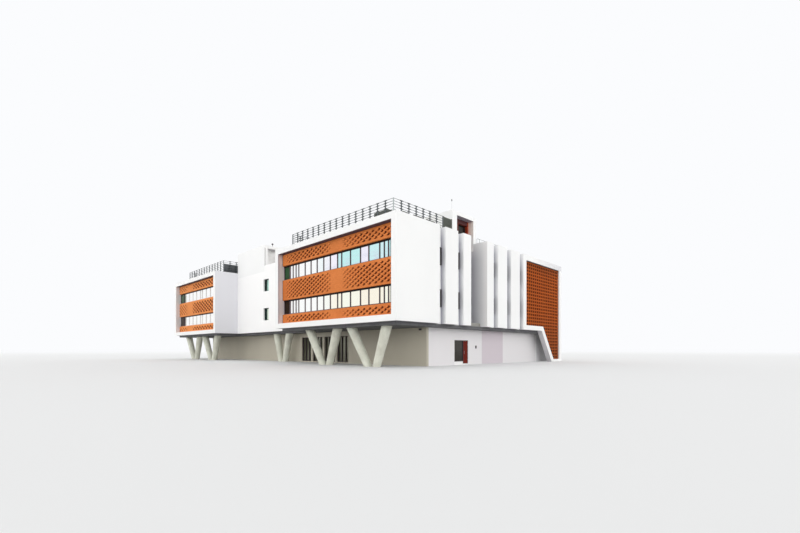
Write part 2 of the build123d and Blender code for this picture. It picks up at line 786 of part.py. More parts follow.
# Louvre panels, at the end of railing A and inside the corner of railing B: posts and sloping blades
louvre_start = railing_y + railing_side_length + railing_post
with BuildPart() as roof_louvres:
    for x, start, length, height in (
            (railing_corner_x, louvre_start, louvre_length, railing_height),
            (railing_b_corner_x - louvre_b_inset, railing_b_y + railing_post, louvre_b_length,
             louvre_b_height)):
        outer = x + louvre_thickness / 2
        inner = x - louvre_thickness / 2
        for low in (start, start + length - louvre_post):
            block(inner, outer, low, low + louvre_post, roof_level, roof_level + height)
        with BuildSketch(front_view(start + louvre_post)):
            for index in range(int((height - louvre_thickness) / louvre_pitch)):
                low = roof_level + louvre_pitch * index
                with BuildLine():
                    Polyline((outer, low), (inner, low + louvre_thickness),
                             (inner, low + louvre_thickness + louvre_blade), (outer, low + louvre_blade),
                             close=True)
                make_face()
        extrude(amount=-(length - 2 * louvre_post))
save(roof_louvres, "roof_louvres")

# Plant box near the front corner of wing A's roof, and lengths of duct along its right side
with BuildPart() as roof_plant:
    plant_front = y_front + plant_setback
    block(x_right - plant_right_setback - plant_width, x_right - plant_right_setback,
          plant_front, plant_front + plant_depth, roof_level, roof_level + plant_height)
    run = plant_front
    for gap, length in duct_runs:
        run += gap
        block(x_right - duct_right_setback - duct_width, x_right - duct_right_setback,
              run, run + length, roof_level, roof_level + plant_height)
        run += length
save(roof_plant, "roof_plant")
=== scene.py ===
"""Looks of the office building: finishes for every solid, clay relief, studio and camera.

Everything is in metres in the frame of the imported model: +Z up, the front with the clay bands
faces -Y and the side with the fins faces +X. The origin is on the ground in the plan's middle.
"""
from __future__ import annotations

import json
import logging
import math
from dataclasses import dataclass, field
from enum import Enum

import bpy
import numpy as np
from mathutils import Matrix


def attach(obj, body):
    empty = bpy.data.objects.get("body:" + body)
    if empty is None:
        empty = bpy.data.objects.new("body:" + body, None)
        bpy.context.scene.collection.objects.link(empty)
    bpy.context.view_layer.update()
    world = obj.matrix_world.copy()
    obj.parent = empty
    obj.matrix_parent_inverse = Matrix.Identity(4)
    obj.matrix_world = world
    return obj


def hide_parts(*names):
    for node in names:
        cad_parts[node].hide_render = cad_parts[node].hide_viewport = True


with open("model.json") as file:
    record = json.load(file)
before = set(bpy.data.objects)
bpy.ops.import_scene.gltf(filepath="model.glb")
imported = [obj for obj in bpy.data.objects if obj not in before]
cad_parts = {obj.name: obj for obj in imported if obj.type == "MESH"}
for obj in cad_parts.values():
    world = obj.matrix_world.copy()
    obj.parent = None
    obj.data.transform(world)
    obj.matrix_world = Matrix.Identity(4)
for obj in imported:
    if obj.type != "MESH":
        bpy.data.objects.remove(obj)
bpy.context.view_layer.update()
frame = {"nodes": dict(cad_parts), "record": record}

Pair = tuple[float, float]
Triple = tuple[float, float, float]
Shell = tuple[np.ndarray, list[list[int]]]
Socket = bpy.types.NodeSocket
Material = bpy.types.Material
Noise = tuple[float | Triple, ...]

# Stretches of a noise over which a gloss or a tone changes
EVEN = (0.3, 0.7)
BROAD = (0.35, 0.7)
# Share of its normal by which a face looks one way, where a shade starts and where it is full
TURNED = (0.5, 0.7)
# Height of the roof, and sills and heads of the two rows of windows
ROOF = 6.32
WINDOW_ROWS = ((2.88, 3.73), (4.91, 5.76))

log = logging.getLogger("office_building")


class Slot(Enum):
    """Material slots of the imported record."""

    WHITE_RENDER = "white_render"
    BEIGE_RENDER = "beige_render"
    TERRACOTTA = "terracotta"
    DARK_FRAME = "dark_frame"
    GLASS = "glass"
    SOFFIT = "soffit_grey"
    CONCRETE = "concrete"
    RED_FRAME = "red_frame"
    RAILING = "railing_grey"
    LOUVRE = "louvre_olive"
    STEEL = "steel"
    SCREED = "floor_screed"


def linear(colour: Triple) -> tuple[float, ...]:
    """Turn a colour of 0 to 255 a channel, as a screen shows it, into a shader's colour.

    Args:
        colour: Red, green and blue.

    Returns:
        Red, green, blue and 1: each channel is ((c + 0.055) / 1.055) to the power 2.4, or c / 12.92
        for a very dark one.
    """
    shares = [channel / 255 for channel in colour]
    return (*(c / 12.92 if c <= 0.04045 else ((c + 0.055) / 1.055) ** 2.4 for c in shares), 1.0)


class Nodes:
    """Nodes of a material or a world, added and joined step by step."""

    def __init__(self, owner: Material | bpy.types.World) -> None:
        """Start with no nodes.

        Args:
            owner: The material or the world.
        """
        owner.use_nodes = True
        self.tree = owner.node_tree
        self.tree.nodes.clear()

    def join(self, value: object, socket: Socket) -> None:
        """Link a socket to another one, or set a plain value on it.

        Args:
            value: An output socket, a number, a vector or a colour of three channels, 0 to 255.
            socket: The input socket.
        """
        if isinstance(value, Socket):
            self.tree.links.new(value, socket)
        elif socket.type == "RGBA" and len(value) == 3:
            socket.default_value = linear(value)
        else:
            socket.default_value = value

    def node(self, kind: str, *ordered: object, **named: object) -> bpy.types.Node:
        """Add a node and link or set its inputs.

        Args:
            kind: Blender's name for the node, without its first words.
            *ordered: What its inputs get, from the first one on.
            **named: What further inputs get, by their names with _ for a space.

        Returns:
            The node.
        """
        node = self.tree.nodes.new("ShaderNode" + kind)
        for number, value in enumerate(ordered):
            self.join(value, node.inputs[number])
        for name, value in named.items():
            self.join(value, node.inputs[name.replace("_", " ")])
        return node

    def axes(self, vector: Socket) -> dict[str, Socket]:
        """Return the X, Y and Z of a vector.

        Args:
            vector: The vector's socket.

        Returns:
            The three sockets by their letters.
        """
        node = self.node("SeparateXYZ", vector)
        return {axis: node.outputs[axis] for axis in "XYZ"}

    def math(self, operation: str, first: object, second: object) -> Socket:
        """Return the result of one Math node.

        Args:
            operation: Blender's name for the operation.
            first: First operand, a socket or a number.
            second: Second operand.

        Returns:
            The result's socket.
        """
        node = self.node("Math", first, second)
        node.operation = operation
        return node.outputs[0]

    def ranged(self, value: Socket, low: float, high: float, start: float = 0.0, end: float = 1.0
               ) -> Socket:
        """Return a value carried from one range to another and held at its ends.

        Args:
            value: The value's socket.
            low: Value that gives start.
            high: Value that gives end.
            start: Result at low.
            end: Result at high.

        Returns:
            The result's socket.
        """
        return self.node("MapRange", value, low, high, start, end).outputs["Result"]

    def mix(self, share: object, first: object, second: object) -> Socket:
        """Return a colour between two others.

        Args:
            share: 0 for the first, 1 for the second.
            first: Colour or socket.
            second: Colour or socket.

        Returns:
            The colour's socket.
        """
        # A Mix node's colours are its inputs 6 and 7 and its output 2
        node = self.node("Mix")
        node.data_type = "RGBA"
        for number, value in ((0, share), (6, first), (7, second)):
            self.join(value, node.inputs[number])
        return node.outputs[2]


class Graph(Nodes):
    """One material's nodes around a Principled shader."""

    def __init__(self, name: str) -> None:
        """Start a material with a shader, an output and Object coordinates.

        Args:
            name: The material's name.
        """
        self.material = bpy.data.materials.new(name)
        super().__init__(self.material)
        self.shader = self.node("BsdfPrincipled")
        self.output = self.node("OutputMaterial", self.shader.outputs["BSDF"])
        self.place = self.node("TexCoord").outputs["Object"]

    def noise(self, scale: float, detail: float = 3.0, stretch: Triple = (1, 1, 1)) -> Socket:
        """Return smooth noise of 0 to 1.

        Args:
            scale: Waves in a metre.
            detail: Octaves.
            stretch: Factors on the coordinates along X, Y and Z.

        Returns:
            The noise's socket.
        """
        place = self.node("Mapping", self.place, Scale=stretch).outputs["Vector"]
        return self.node("TexNoise", place, Scale=scale, Detail=detail).outputs["Fac"]

    def mottled(self, tone: object, other: object, noise: Noise, low: float, high: float,
                most: float = 1.0) -> Socket:
        """Return a tone that turns into another one as a noise rises.

        Args:
            tone: Colour or socket where the noise is low.
            other: Colour that is laid over it.
            noise: Its scale, detail and stretch.
            low: Noise at which the other one starts.
            high: Noise from which it is at its most.
            most: Its largest share.

        Returns:
            The colour's socket.
        """
        return self.mix(self.ranged(self.noise(*noise), low, high, 0.0, most), tone, other)

    def bricks(self, size: Pair, joint: float, plane: str, softness: float = 0.3) -> Socket:
        """Return a mask of joints between tiles in a running bond, 1 in a joint and 0 on a tile.

        Args:
            size: Length and height of a tile in metres.
            joint: Joint width in metres.
            plane: The two axes that the tiles lie in.
            softness: Softness of a joint's edges, 0 to 1.

        Returns:
            The mask's socket.
        """
        parts = self.axes(self.place)
        flat = self.node("CombineXYZ", parts[plane[0]], parts[plane[1]])
        tiles = self.node("TexBrick", flat.outputs["Vector"], Scale=1.0, Brick_Width=size[0],
                          Row_Height=size[1], Mortar_Size=joint, Mortar_Smooth=softness)
        return tiles.outputs["Fac"]

    def bump(self, height: Socket, distance: float) -> None:
        """Give the shader a bump from a height.

        Args:
            height: Height's socket.
            distance: Metres for a height of 1.
        """
        node = self.node("Bump", Distance=distance, Height=height)
        self.join(node.outputs["Normal"], self.shader.inputs["Normal"])

    def attribute(self, name: str) -> Socket:
        """Return a mesh attribute as a number.

        Args:
            name: The attribute's name.

        Returns:
            Its socket.
        """
        node = self.node("Attribute")
        node.attribute_name = name
        return node.outputs["Fac"]

    def facing(self, direction: str) -> Socket:
        """Return 1 on the faces that look one way and 0 on the others.

        Args:
            direction: A sign and an axis, such as "-Z" for undersides.

        Returns:
            The mask's socket.
        """
        normal = self.axes(self.node("NewGeometry").outputs["Normal"])[direction[1]]
        sign = -1.0 if direction[0] == "-" else 1.0
        return self.ranged(normal, *(sign * share for share in TURNED))

    def shaded(self, tone: object, shades: tuple["Shade", ...]) -> object:
        """Lay each shade over a tone.

        Args:
            tone: Colour or its socket.
            shades: The shades, the last one on top.

        Returns:
            The new colour.
        """
        axes = self.axes(self.place)
        for shade in shades:
            share: object = shade.strength
            if shade.facing:
                share = self.math("MULTIPLY", self.facing(shade.facing), share)
            for axis, start, end in shade.ramps:
                share = self.math("MULTIPLY", self.ranged(axes[axis], start, end), share)
            tone = self.mix(share, tone, shade.colour)
        return tone

    def finish(self, colour: object, roughness: object, **constants: float) -> None:
        """Set the shader's colour, roughness and constants.

        Args:
            colour: Base colour or its socket.
            roughness: Roughness or its socket.
            **constants: Values set on the shader's own sockets, by their names with _ for a space.
        """
        self.join(colour, self.shader.inputs["Base Color"])
        self.join(roughness, self.shader.inputs["Roughness"])
        for name, number in constants.items():
            self.shader.inputs[name.replace("_", " ")].default_value = number


@dataclass(frozen=True)
class Shade:
    """A tone laid over part of a surface; many of them are painted shade or painted light.

    Each ramp holds an axis, the place where the tone starts and the place where it is full; a ramp
    may run down its axis.
    """

    colour: Triple
    facing: str = ""
    ramps: tuple[tuple[str, float, float], ...] = ()
    strength: float = 1.0


class Finish:
    """Base of the finishes, each of which lays its tones on a material's graph."""

    def lay(self, graph: Graph) -> None:
        """Lay the finish, in the way of each kind of finish.

        Args:
            graph: The material's graph.
        """
        raise NotImplementedError

    def material(self, name: str) -> Material:
        """Build the material.

        Args:
            name: Its name.

        Returns:
            The material.
        """
        graph = Graph(name)
        self.lay(graph)
        return graph.material


@dataclass(frozen=True)
class Render(Finish):
    """Smooth painted render with a fine grain and broad, faint clouding."""

    shades: tuple[Shade, ...] = ()
    colour: Triple = (249, 250, 250)
    clouding: float = 0.035
    grain_depth: float = 0.0016
    roughness: Pair = (0.72, 0.84)
    clouds: Noise = (0.55, 4.0, (1, 1, 0.45))
    streaks: Noise = (5.0, 2.0, (1, 1, 0.06))
    streak_range: Triple = (0.62, 0.8, 0.35)
    grain: Noise = (38.0, 5.0)

    def lay(self, graph: Graph) -> None:
        """Lay the clouds, faint streaks down the wall, the shades and the grain.

        Args:
            graph: The material's graph.
        """
        base = linear(self.colour)
        dull = tuple(channel * (1 - self.clouding) for channel in base[:3]) + (1.0,)
        tone = graph.mottled(base, dull, self.clouds, *BROAD)
        tone = graph.mottled(tone, dull, self.streaks, *self.streak_range)
        grain = graph.noise(*self.grain)
        graph.bump(grain, self.grain_depth)
        graph.finish(graph.shaded(tone, self.shades), graph.ranged(grain, *EVEN, *self.roughness))


@dataclass(frozen=True)
class Clay(Finish):
    """Matt fired clay tiles: joints, a tone that changes from tile to tile, painted shadow and
    highlight.
    """

    colour: Triple = (224, 134, 72)
    deep: Triple = (198, 106, 50)
    # Tones of the relief's painted shadow, which the joints take as well, and of its painted
    # highlight
    pocket: Triple = (78, 26, 4)
    crest: Triple = (244, 146, 74)
    tile: Pair = (0.2075, 0.109)
    plane: str = "XZ"
    joint_share: float = 0.18
    shades: tuple[Shade, ...] = ()
    joint: float = 0.004
    blotches: Noise = (0.8, 3.0)
    blotch_share: float = 0.45
    patches: Noise = (6.0, 2.0, (1, 1, 2))
    patch_range: Triple = (0.4, 0.75, 0.3)
    speckle: Noise = (55.0, 4.0)
    speckle_depth: float = 0.3
    bump_depth: float = 0.002
    roughness: Pair = (0.72, 0.88)
    specular: float = 0.15

    def lay(self, graph: Graph) -> None:
        """Lay two sizes of blotches, the joints, the relief's painted shadow and highlight, and the
        shades.

        Args:
            graph: The material's graph.
        """
        joints = graph.bricks(self.tile, self.joint, self.plane)
        speckle = graph.noise(*self.speckle)
        tone = graph.mottled(self.colour, self.deep, self.blotches, *EVEN, self.blotch_share)
        tone = graph.mottled(tone, self.deep, self.patches, *self.patch_range)
        # The joints take the painted shadow's dark tone
        tone = graph.mix(graph.math("MULTIPLY", joints, self.joint_share), tone, self.pocket)
        # Painted highlight and painted shadow of the relief, from its vertex values
        tone = graph.mix(graph.attribute("crest"), tone, self.crest)
        tone = graph.mix(graph.attribute("pocket"), tone, self.pocket)
        grain = graph.math("MULTIPLY", speckle, self.speckle_depth)
        graph.bump(graph.math("SUBTRACT", grain, joints), self.bump_depth)
        graph.finish(graph.shaded(tone, self.shades),
                     graph.ranged(speckle, *EVEN, *self.roughness),
                     Specular_IOR_Level=self.specular)


@dataclass(frozen=True)
class Coating(Finish):
    """Even surface with faint clouds of a duller or paler tone, a ripple and a changing gloss."""

    colour: Triple
    roughness: float
    shades: tuple[Shade, ...] = ()
    metallic: float = 0.0
    specular: float = 0.5
    clouds: Noise = (1.4, 3.0)
    cloud_range: Triple = (*EVEN, 1.0)
    cloud_tone: Pair = (0.82, 0.0)
    ripple: Noise = (0.9, 1.0)
    ripple_depth: float = 0.0008
    gloss: Pair = (0.0, 0.04)

    def lay(self, graph: Graph) -> None:
        """Lay the clouds, the shades, the ripple and the gloss, which goes with the clouds.

        Args:
            graph: The material's graph.
        """
        factor, lift = self.cloud_tone
        other = tuple(min(255.0, level * factor + lift) for level in self.colour)
        tone = graph.mottled(self.colour, other, self.clouds, *self.cloud_range)
        graph.bump(graph.noise(*self.ripple), self.ripple_depth)
        gloss = (self.roughness + step for step in self.gloss)
        graph.finish(graph.shaded(tone, self.shades),
                     graph.ranged(graph.noise(*self.clouds), *EVEN, *gloss),
                     Metallic=self.metallic, Specular_IOR_Level=self.specular)


@dataclass(frozen=True)
class CoatedGlass(Coating):
    """Reflective glass in one tint, with the slight unevenness of large panes."""

    colour: Triple = (60, 68, 68)
    roughness: float = 0.05
    metallic: float = 0.75


@dataclass(frozen=True)
class Paint(Coating):
    """Satin coating on metal, with an uneven sheen and a fine orange-peel."""

    colour: Triple
    roughness: float = 0.42
    specular: float = 0.25
    clouds: Noise = (2.6, 4.0)
    cloud_range: Triple = (0.45, 0.8, 0.8)
    cloud_tone: Pair = (1.12, 8.0)
    ripple: Noise = (90.0, 2.0)
    ripple_depth: float = 0.0004
    gloss: Pair = (-0.05, 0.1)


@dataclass(frozen=True)
class BrushedSteel(Coating):
    """Brushed steel: a fine grain along the height and a slightly uneven gloss."""

    colour: Triple = (190, 190, 192)
    roughness: float = 0.25
    metallic: float = 1.0
    clouds: Noise = (400.0, 2.0, (1, 1, 0.02))
    cloud_range: Triple = (0.0, 1.0, 1.0)
    cloud_tone: Pair = (0.85, 0.0)
    ripple: Noise = (400.0, 2.0, (1, 1, 0.02))
    ripple_depth: float = 0.0001
    gloss: Pair = (0.0, 0.15)


@dataclass(frozen=True)
class StripGlass(Finish):
    """Mirror-coated strip windows whose tint changes from pane to pane.

    The lower storey is cream, the upper one cool with a painted reflection of faint cloud banks in
    its lower half, and both are palest at the left. The panes' attributes hold their own hue and
    whether they carry a painted dark reflection of the shaded return beside them.
    """

    cool: Triple = (196, 242, 240)
    lilac: Triple = (244, 240, 252)
    mint: Triple = (250, 254, 240)
    peach: Triple = (254, 246, 228)
    pale: Triple = (255, 255, 253)
    cloud: Triple = (212, 213, 229)
    # Tones of the painted dark reflection in the panes at a stretch's left end; black also darkens
    # their edges
    green: Triple = (74, 128, 86)
    brown: Triple = (62, 48, 28)
    black: Triple = (14, 9, 10)
    split: Pair = (4.29, 4.31)
    change: tuple[float, ...] = (7.4, 9.6, 0.04)
    shades: tuple[Shade, ...] = ()
    clouds: Noise = (1.5, 4.0, (1, 1, 3.2))
    cloud_range: tuple[float, ...] = (0.45, 0.6, 0.0, 0.6)
    cloud_tops: Pair = (WINDOW_ROWS[1][0] + 0.1, WINDOW_ROWS[1][0] + 0.6)
    ripple: Noise = (0.8, 1.0)
    ripple_depth: float = 0.0006
    roughness: Pair = (0.03, 0.06)
    metallic: float = 0.97

    def lay(self, graph: Graph) -> None:
        """Lay the hues of both storeys, the dark panes' painted reflection and the painted shadow
        at the heads.

        Args:
            graph: The material's graph.
        """
        axes = graph.axes(graph.place)
        upper = graph.ranged(axes["Z"], *self.split)
        along = graph.ranged(axes["X"], *self.change)
        clouds = graph.noise(*self.clouds)
        low_half = graph.ranged(axes["Z"], *self.cloud_tops, 1.0, 0.0)
        banks = graph.math("MULTIPLY", graph.ranged(clouds, *self.cloud_range), low_half)
        hue = graph.attribute("hue")
        above = graph.mix(along, self.pale, graph.mix(hue, self.cool, self.lilac))
        # Painted reflection of cloud banks, low in the upper storey
        above = graph.mix(graph.math("MULTIPLY", banks, along), above, self.cloud)
        below = graph.mix(along, self.pale, graph.mix(hue, self.mint, self.peach))
        # Painted dark reflection of the shaded return, near black at the panes' edges
        dark = graph.mix(upper, self.brown, self.green)
        dark = graph.mix(graph.attribute("edge"), dark, self.black)
        tone = graph.mix(graph.attribute("dark"), graph.mix(upper, below, above), dark)
        graph.bump(graph.noise(*self.ripple), self.ripple_depth)
        graph.finish(graph.shaded(tone, self.shades), graph.ranged(clouds, *EVEN, *self.roughness),
                     Metallic=self.metallic)


@dataclass(frozen=True)
class Concrete(Finish):
    """Smooth cast concrete: cloudy tone, fine pores and lift lines at even heights."""

    colour: Triple = (228, 230, 216)
    stained: Triple = (190, 189, 174)
    lift: float = 0.6
    seam: float = 0.006
    seam_share: float = 0.4
    clouds: Noise = (1.9, 5.0)
    cloud_share: float = 0.75
    pores: Noise = (60.0, 3.0)
    pore_range: Triple = (0.62, 0.72, 0.35)
    pore_depth: float = 0.5
    bump_depth: float = 0.0016
    roughness: float = 0.8

    def lay(self, graph: Graph) -> None:
        """Lay the clouds, the pores and the lift lines.

        Args:
            graph: The material's graph.
        """
        rings = graph.math("PINGPONG", graph.axes(graph.place)["Z"], self.lift / 2)
        seam = graph.ranged(rings, 0.0, self.seam, 1.0, 0.0)
        tone = graph.mottled(self.colour, self.stained, self.clouds, *BROAD, self.cloud_share)
        tone = graph.mottled(tone, self.stained, self.pores, *self.pore_range)
        tone = graph.mix(graph.math("MULTIPLY", seam, self.seam_share), tone, self.stained)
        hollows = graph.math("MULTIPLY", graph.noise(*self.pores), -self.pore_depth)
        graph.bump(graph.math("SUBTRACT", hollows, seam), self.bump_depth)
        graph.finish(tone, self.roughness)


@dataclass(frozen=True)
class Sheets(Finish):
    """Level sheets side by side with soft blotches, darker joints and a sandy grain."""

    colour: Triple
    blotch: Triple
    joint_colour: Triple
    size: Pair
    joint: float
    joint_share: float
    roughness: float
    blotches: Noise
    sand: Noise
    sand_depth: float
    bump_depth: float = 0.002

    def lay(self, graph: Graph) -> None:
        """Lay the blotches, the joints and the sand.

        Args:
            graph: The material's graph.
        """
        joints = graph.bricks(self.size, self.joint, "XY")
        tone = graph.mottled(self.colour, self.blotch, self.blotches, *BROAD)
        tone = graph.mix(graph.math("MULTIPLY", joints, self.joint_share), tone, self.joint_colour)
        sand = graph.math("MULTIPLY", graph.noise(*self.sand), self.sand_depth)
        graph.bump(graph.math("SUBTRACT", sand, joints), self.bump_depth)
        graph.finish(tone, self.roughness)


# Ramps, tones and shades that finishes share, or that lie in the slot and the portal over it
NEAR_HALF = ("X", 0.0, 1.0)
FAR_HALF = ("X", 0.0, -1.0)
# Painted shade: faces that look down are laid darker
UNDERSIDE_SHADE = Shade((156, 150, 160), "-Z")
# Painted shade: the ground floor's walls that face +X are laid a little darker
GROUND_SIDE_SHADE = Shade((234, 232, 234), "+X")
PORTAL_JAMB = Shade((250, 238, 230), "-Y", (("Y", -2.5, -2.4), ("Z", 7.0, 7.3)))
PORTAL_EDGE = Shade((236, 190, 170), "-Y",
                    (("Y", -2.5, -2.4), ("X", 13.0, 12.8), ("Z", 7.0, 7.1)), 0.7)
# Painted shade on the fins' cheeks, the faces towards -Y, darker deeper in the gaps and lower down
FIN_SHADE_TONE = (158, 158, 172)
FIN_SHADE_FALL = (("X", 14.03, 13.74), ("Z", 7.3, 6.2))
FIN_CHEEK_SHADE = Shade(FIN_SHADE_TONE, "-Y", FIN_SHADE_FALL)
# Painted shade on the faces towards -Y at the slot's far side, darker deeper in the slot and lower
# down; the fin that closes the slot first gets white laid back over its painted fin shade
SLOT_SHADE_TONE = (150, 156, 171)
SLOT_SIDE = (("Y", -1.45, -1.44), ("Y", -1.2, -1.21))
SLOT_SHADE_FALL = (("X", 13.95, 12.7), ("Z", 7.2, 5.8))
SLOT_FIN = Shade((250, 250, 250), "-Y", SLOT_SIDE)
SLOT_FIN_CHEEK = Shade(SLOT_SHADE_TONE, "-Y", (*SLOT_SHADE_FALL, *SLOT_SIDE))
SLOT_CHEEK_SHADE = Shade(SLOT_SHADE_TONE, "-Y", SLOT_SHADE_FALL)
BAND_SHADOW = Shade((92, 78, 90), "-Z", (("Z", 6.2, 6.3),))
BOX_SHADOW = Shade((150, 150, 152), "-Z", (("Z", 2.3, 2.2),))
# Painted shadow at the window heads, under the clay bands, on the frames and on the glass
BLACK = (14, 9, 10)
HEAD_SHADOWS = (Shade(BLACK, "", (("Z", 3.635, 3.645), ("Z", 3.8, 3.79))),
         Shade(BLACK, "", (("Z", 5.665, 5.675),)))
GLASS_HEADS = (Shade(BLACK, "", (("Z", 3.635, 3.655), ("Z", 3.81, 3.79))),
               Shade(BLACK, "", (("Z", 5.665, 5.685), ("Z", 5.91, 5.89))))
# Painted shadow under the beam, along the top of the upper clay band
BAND_TOP_SHADOW = Shade((66, 30, 20), "", (("Z", 6.395, 6.42),))

SLOT_FINISHES: dict[Slot, Finish] = {
    Slot.WHITE_RENDER: Render((UNDERSIDE_SHADE,)),
    Slot.BEIGE_RENDER: Render((), (196, 190, 174), 0.08),
    Slot.TERRACOTTA: Clay(shades=(BAND_TOP_SHADOW,)),
    Slot.DARK_FRAME: Paint((72, 62, 66)),
    Slot.GLASS: CoatedGlass(),
    Slot.SOFFIT: Sheets((106, 107, 110), (91.16, 92.02, 94.6), (60, 60, 62), size=(1.2, 0.6),
                        joint=0.008, joint_share=1.0, roughness=0.7, blotches=(1.1, 4.0),
                        sand=(70.0, 2.0), sand_depth=0.2),
    Slot.CONCRETE: Concrete(),
    Slot.RED_FRAME: Paint((104, 32, 22), 0.4, (
        # Painted shade on the frame's head; the far upright is laid a brighter red
        Shade((88, 46, 46), "", (("Z", 7.76, 7.78),)),
        Shade((152, 54, 24), "", (("Y", -1.47, -1.45),)))),
    Slot.RAILING: Paint((94, 101, 104), 0.5, (
        Shade((170, 178, 178), "", (("X", 13.29, 13.3), ("Y", -7.79, -7.8), ("Z", 6.4, 6.5))),)),
    Slot.LOUVRE: Paint((88, 92, 85), 0.6),
    Slot.STEEL: BrushedSteel(),
    Slot.SCREED: Sheets((176, 175, 170), (146, 144, 138), (146, 144, 138), size=(4.0, 1.0),
                        joint=0.012, joint_share=0.5, roughness=0.85, blotches=(0.7, 5.0),
                        sand=(80.0, 3.0), sand_depth=0.4),
}

NODE_FINISHES: dict[str, Finish] = {
    "front_beams": Render((BAND_SHADOW, BOX_SHADOW)),
    # Painted light: the link's front wall is a brighter white with less clouding than the other
    # render
    "link_front_wall": Render((UNDERSIDE_SHADE,), (255, 255, 255), 0.004),
    "right_fins": Render((UNDERSIDE_SHADE, FIN_CHEEK_SHADE, SLOT_FIN, SLOT_FIN_CHEEK)),
    # Painted shade on the frame's cheek towards -Y and on its +X face at the top, growing towards
    # the far end
    "screen_frame": Render((
        UNDERSIDE_SHADE, Shade(FIN_SHADE_TONE, "-Y", (*FIN_SHADE_FALL, ("Y", 2.9, 2.8))),
        Shade((226, 226, 230), "+X", (("Z", 6.38, 6.4), ("Y", 4.0, 8.0))))),
    "slot_walls": Render((UNDERSIDE_SHADE, SLOT_CHEEK_SHADE)),
    "right_recess_wall": Render((SLOT_FIN_CHEEK,)),
    "tower_a": Render((UNDERSIDE_SHADE, PORTAL_JAMB, PORTAL_EDGE)),
    # Painted shade: the +X side a little darker, an outer strip of the jamb darker still, and the
    # undersides less dark than elsewhere
    "tower_b": Render((
        UNDERSIDE_SHADE, Shade((246, 246, 246), "+X"),
        Shade((214, 214, 214), "+X", (("Y", -6.49, -6.51), ("Z", 8.02, 8.0))),
        Shade((210, 208, 212), "-Z"))),
    # Painted shade on the returns that face +X, darker on the near wing and darkest at its outer
    # edge
    "wing_returns": Render((
        UNDERSIDE_SHADE, Shade((228, 228, 233), "+X"),
        Shade((221, 213, 212), "+X", (NEAR_HALF,)),
        Shade((190, 184, 192), "+X", (NEAR_HALF, ("Y", -8.22, -8.34))))),
    # Painted shade on the piers' faces towards +X
    "left_piers": Render((UNDERSIDE_SHADE, Shade((226, 224, 226), "+X"))),
    "entrance_lintel": Render((UNDERSIDE_SHADE, GROUND_SIDE_SHADE)),
    "ground_side_walls": Render((
        UNDERSIDE_SHADE, GROUND_SIDE_SHADE,
        Shade((214, 205, 212), "+X", (("Y", -0.49, -0.48), ("Y", 1.84, 1.83), ("X", 12.0, 12.5))))),
    "front_window_frames": Paint((76, 64, 70), 0.42, (
        Shade((112, 100, 106), "", (("X", 10.0, 6.0),)),
        Shade((232, 232, 229), "", (FAR_HALF, ("X", -12.55, -12.5))), *HEAD_SHADOWS)),
    "back_window_glass": CoatedGlass((214, 228, 232), metallic=0.95),
    "slot_glass": CoatedGlass((34, 40, 38), 0.1, metallic=0.1),
    "link_window_frames": Paint((34, 48, 46)),
    # Painted shade from the reveal over the left part of the front link windows
    "link_glass": CoatedGlass((196, 246, 230), 0.1, (
        Shade((226, 240, 222), "", (("Z", 4.31, 4.3),)),
        Shade((22, 56, 48), "", (("X", -0.62, -0.66), ("X", -1.2, -1.19), ("Y", 0.0, -0.5)))), 0.1),
    "ground_glass": CoatedGlass((126, 125, 108), 0.08, metallic=0.6),
    "entrance_window": CoatedGlass((56, 52, 46), 0.08, metallic=0.5),
    "entrance_door": Paint((106, 20, 4), 0.75),
    "tower_b_panel": Paint((228, 227, 226), 0.6),
    "mast": Paint((214, 216, 218), 0.5, (Shade((50, 44, 40), "", (("Z", 8.7, 8.71),)),)),
}

# Finishes of the added pieces
# Painted shade on the cheeks of the lattice's holes, the faces that look along Y and along Z
CHEEK = (40, 15, 5)
LATTICE_FINISH = Clay((186, 88, 22), (158, 70, 14), (80, 30, 10), (230, 140, 80),
                      (0.2715, 0.21), "YZ", 0.0, (
    Shade((120, 62, 26), "", (("Z", 5.7, 6.3),), 0.6),
    Shade((148, 74, 32), "", (("Z", 2.8, 0.6),), 0.8),
    Shade((64, 26, 8), "-Y"), Shade(CHEEK, "+Y"), Shade(CHEEK, "-Z"), Shade(CHEEK, "+Z")))
LOUVRE_FINISH = Paint((104, 108, 101), 0.6, (
    Shade((124, 127, 130), "", (FAR_HALF,)),
    Shade((84, 85, 91), "", (FAR_HALF, ("Z", 7.4, 6.8)), 0.8)))
# The far wing's clay, with its own tones for the painted shadow and painted highlight
FAR_CLAY = Clay((236, 152, 88), (222, 132, 70), (104, 40, 14), (250, 170, 104), shades=(BAND_TOP_SHADOW,))
# Near-black finish of the sheet behind the lattice: painted shade behind its holes
SHADE_SHEET_FINISH = Clay((26, 11, 6), (20, 8, 5), (12, 6, 4))

# The relief: cell of the far wing's front, and strength from each band's left end to its right
FAR_CELL = (0.28, 0.147)
WING_A_RELIEF = ((0, 0), (0.045, 0), (0.05, 0.5), (0.15, 0.9), (0.36, 1), (0.47, 0.6), (0.49, 0.5),
                 (0.495, 0), (0.6, 0), (0.605, 0.45), (0.7, 0.75), (0.8, 1), (1, 1))
WING_B_RELIEF = ((0, 0.55), (0.2, 0.5), (0.27, 0), (0.36, 0), (0.42, 0.7), (0.6, 1), (0.96, 0.9),
                 (1, 0.6))

# Name, centre, half sizes and squareness of each lamp, and the stem under the roof's
LAMPS = (("wall_lamp", (12.73, -5.3875, 1.82), (0.085, 0.03, 0.045), 4.0),
         ("wall_fitting", (13.145, -1.105, 0.967), (0.025, 0.05, 0.085), 4.0),
         ("roof_lamp", (-0.86, -5.967, 8.37), (0.06, 0.06, 0.06), 2.5))
STEM_ENDS = ((-0.86, -5.967, 8.2), (-0.86, -5.967, 8.33))
STEM_RADIUS = 0.012


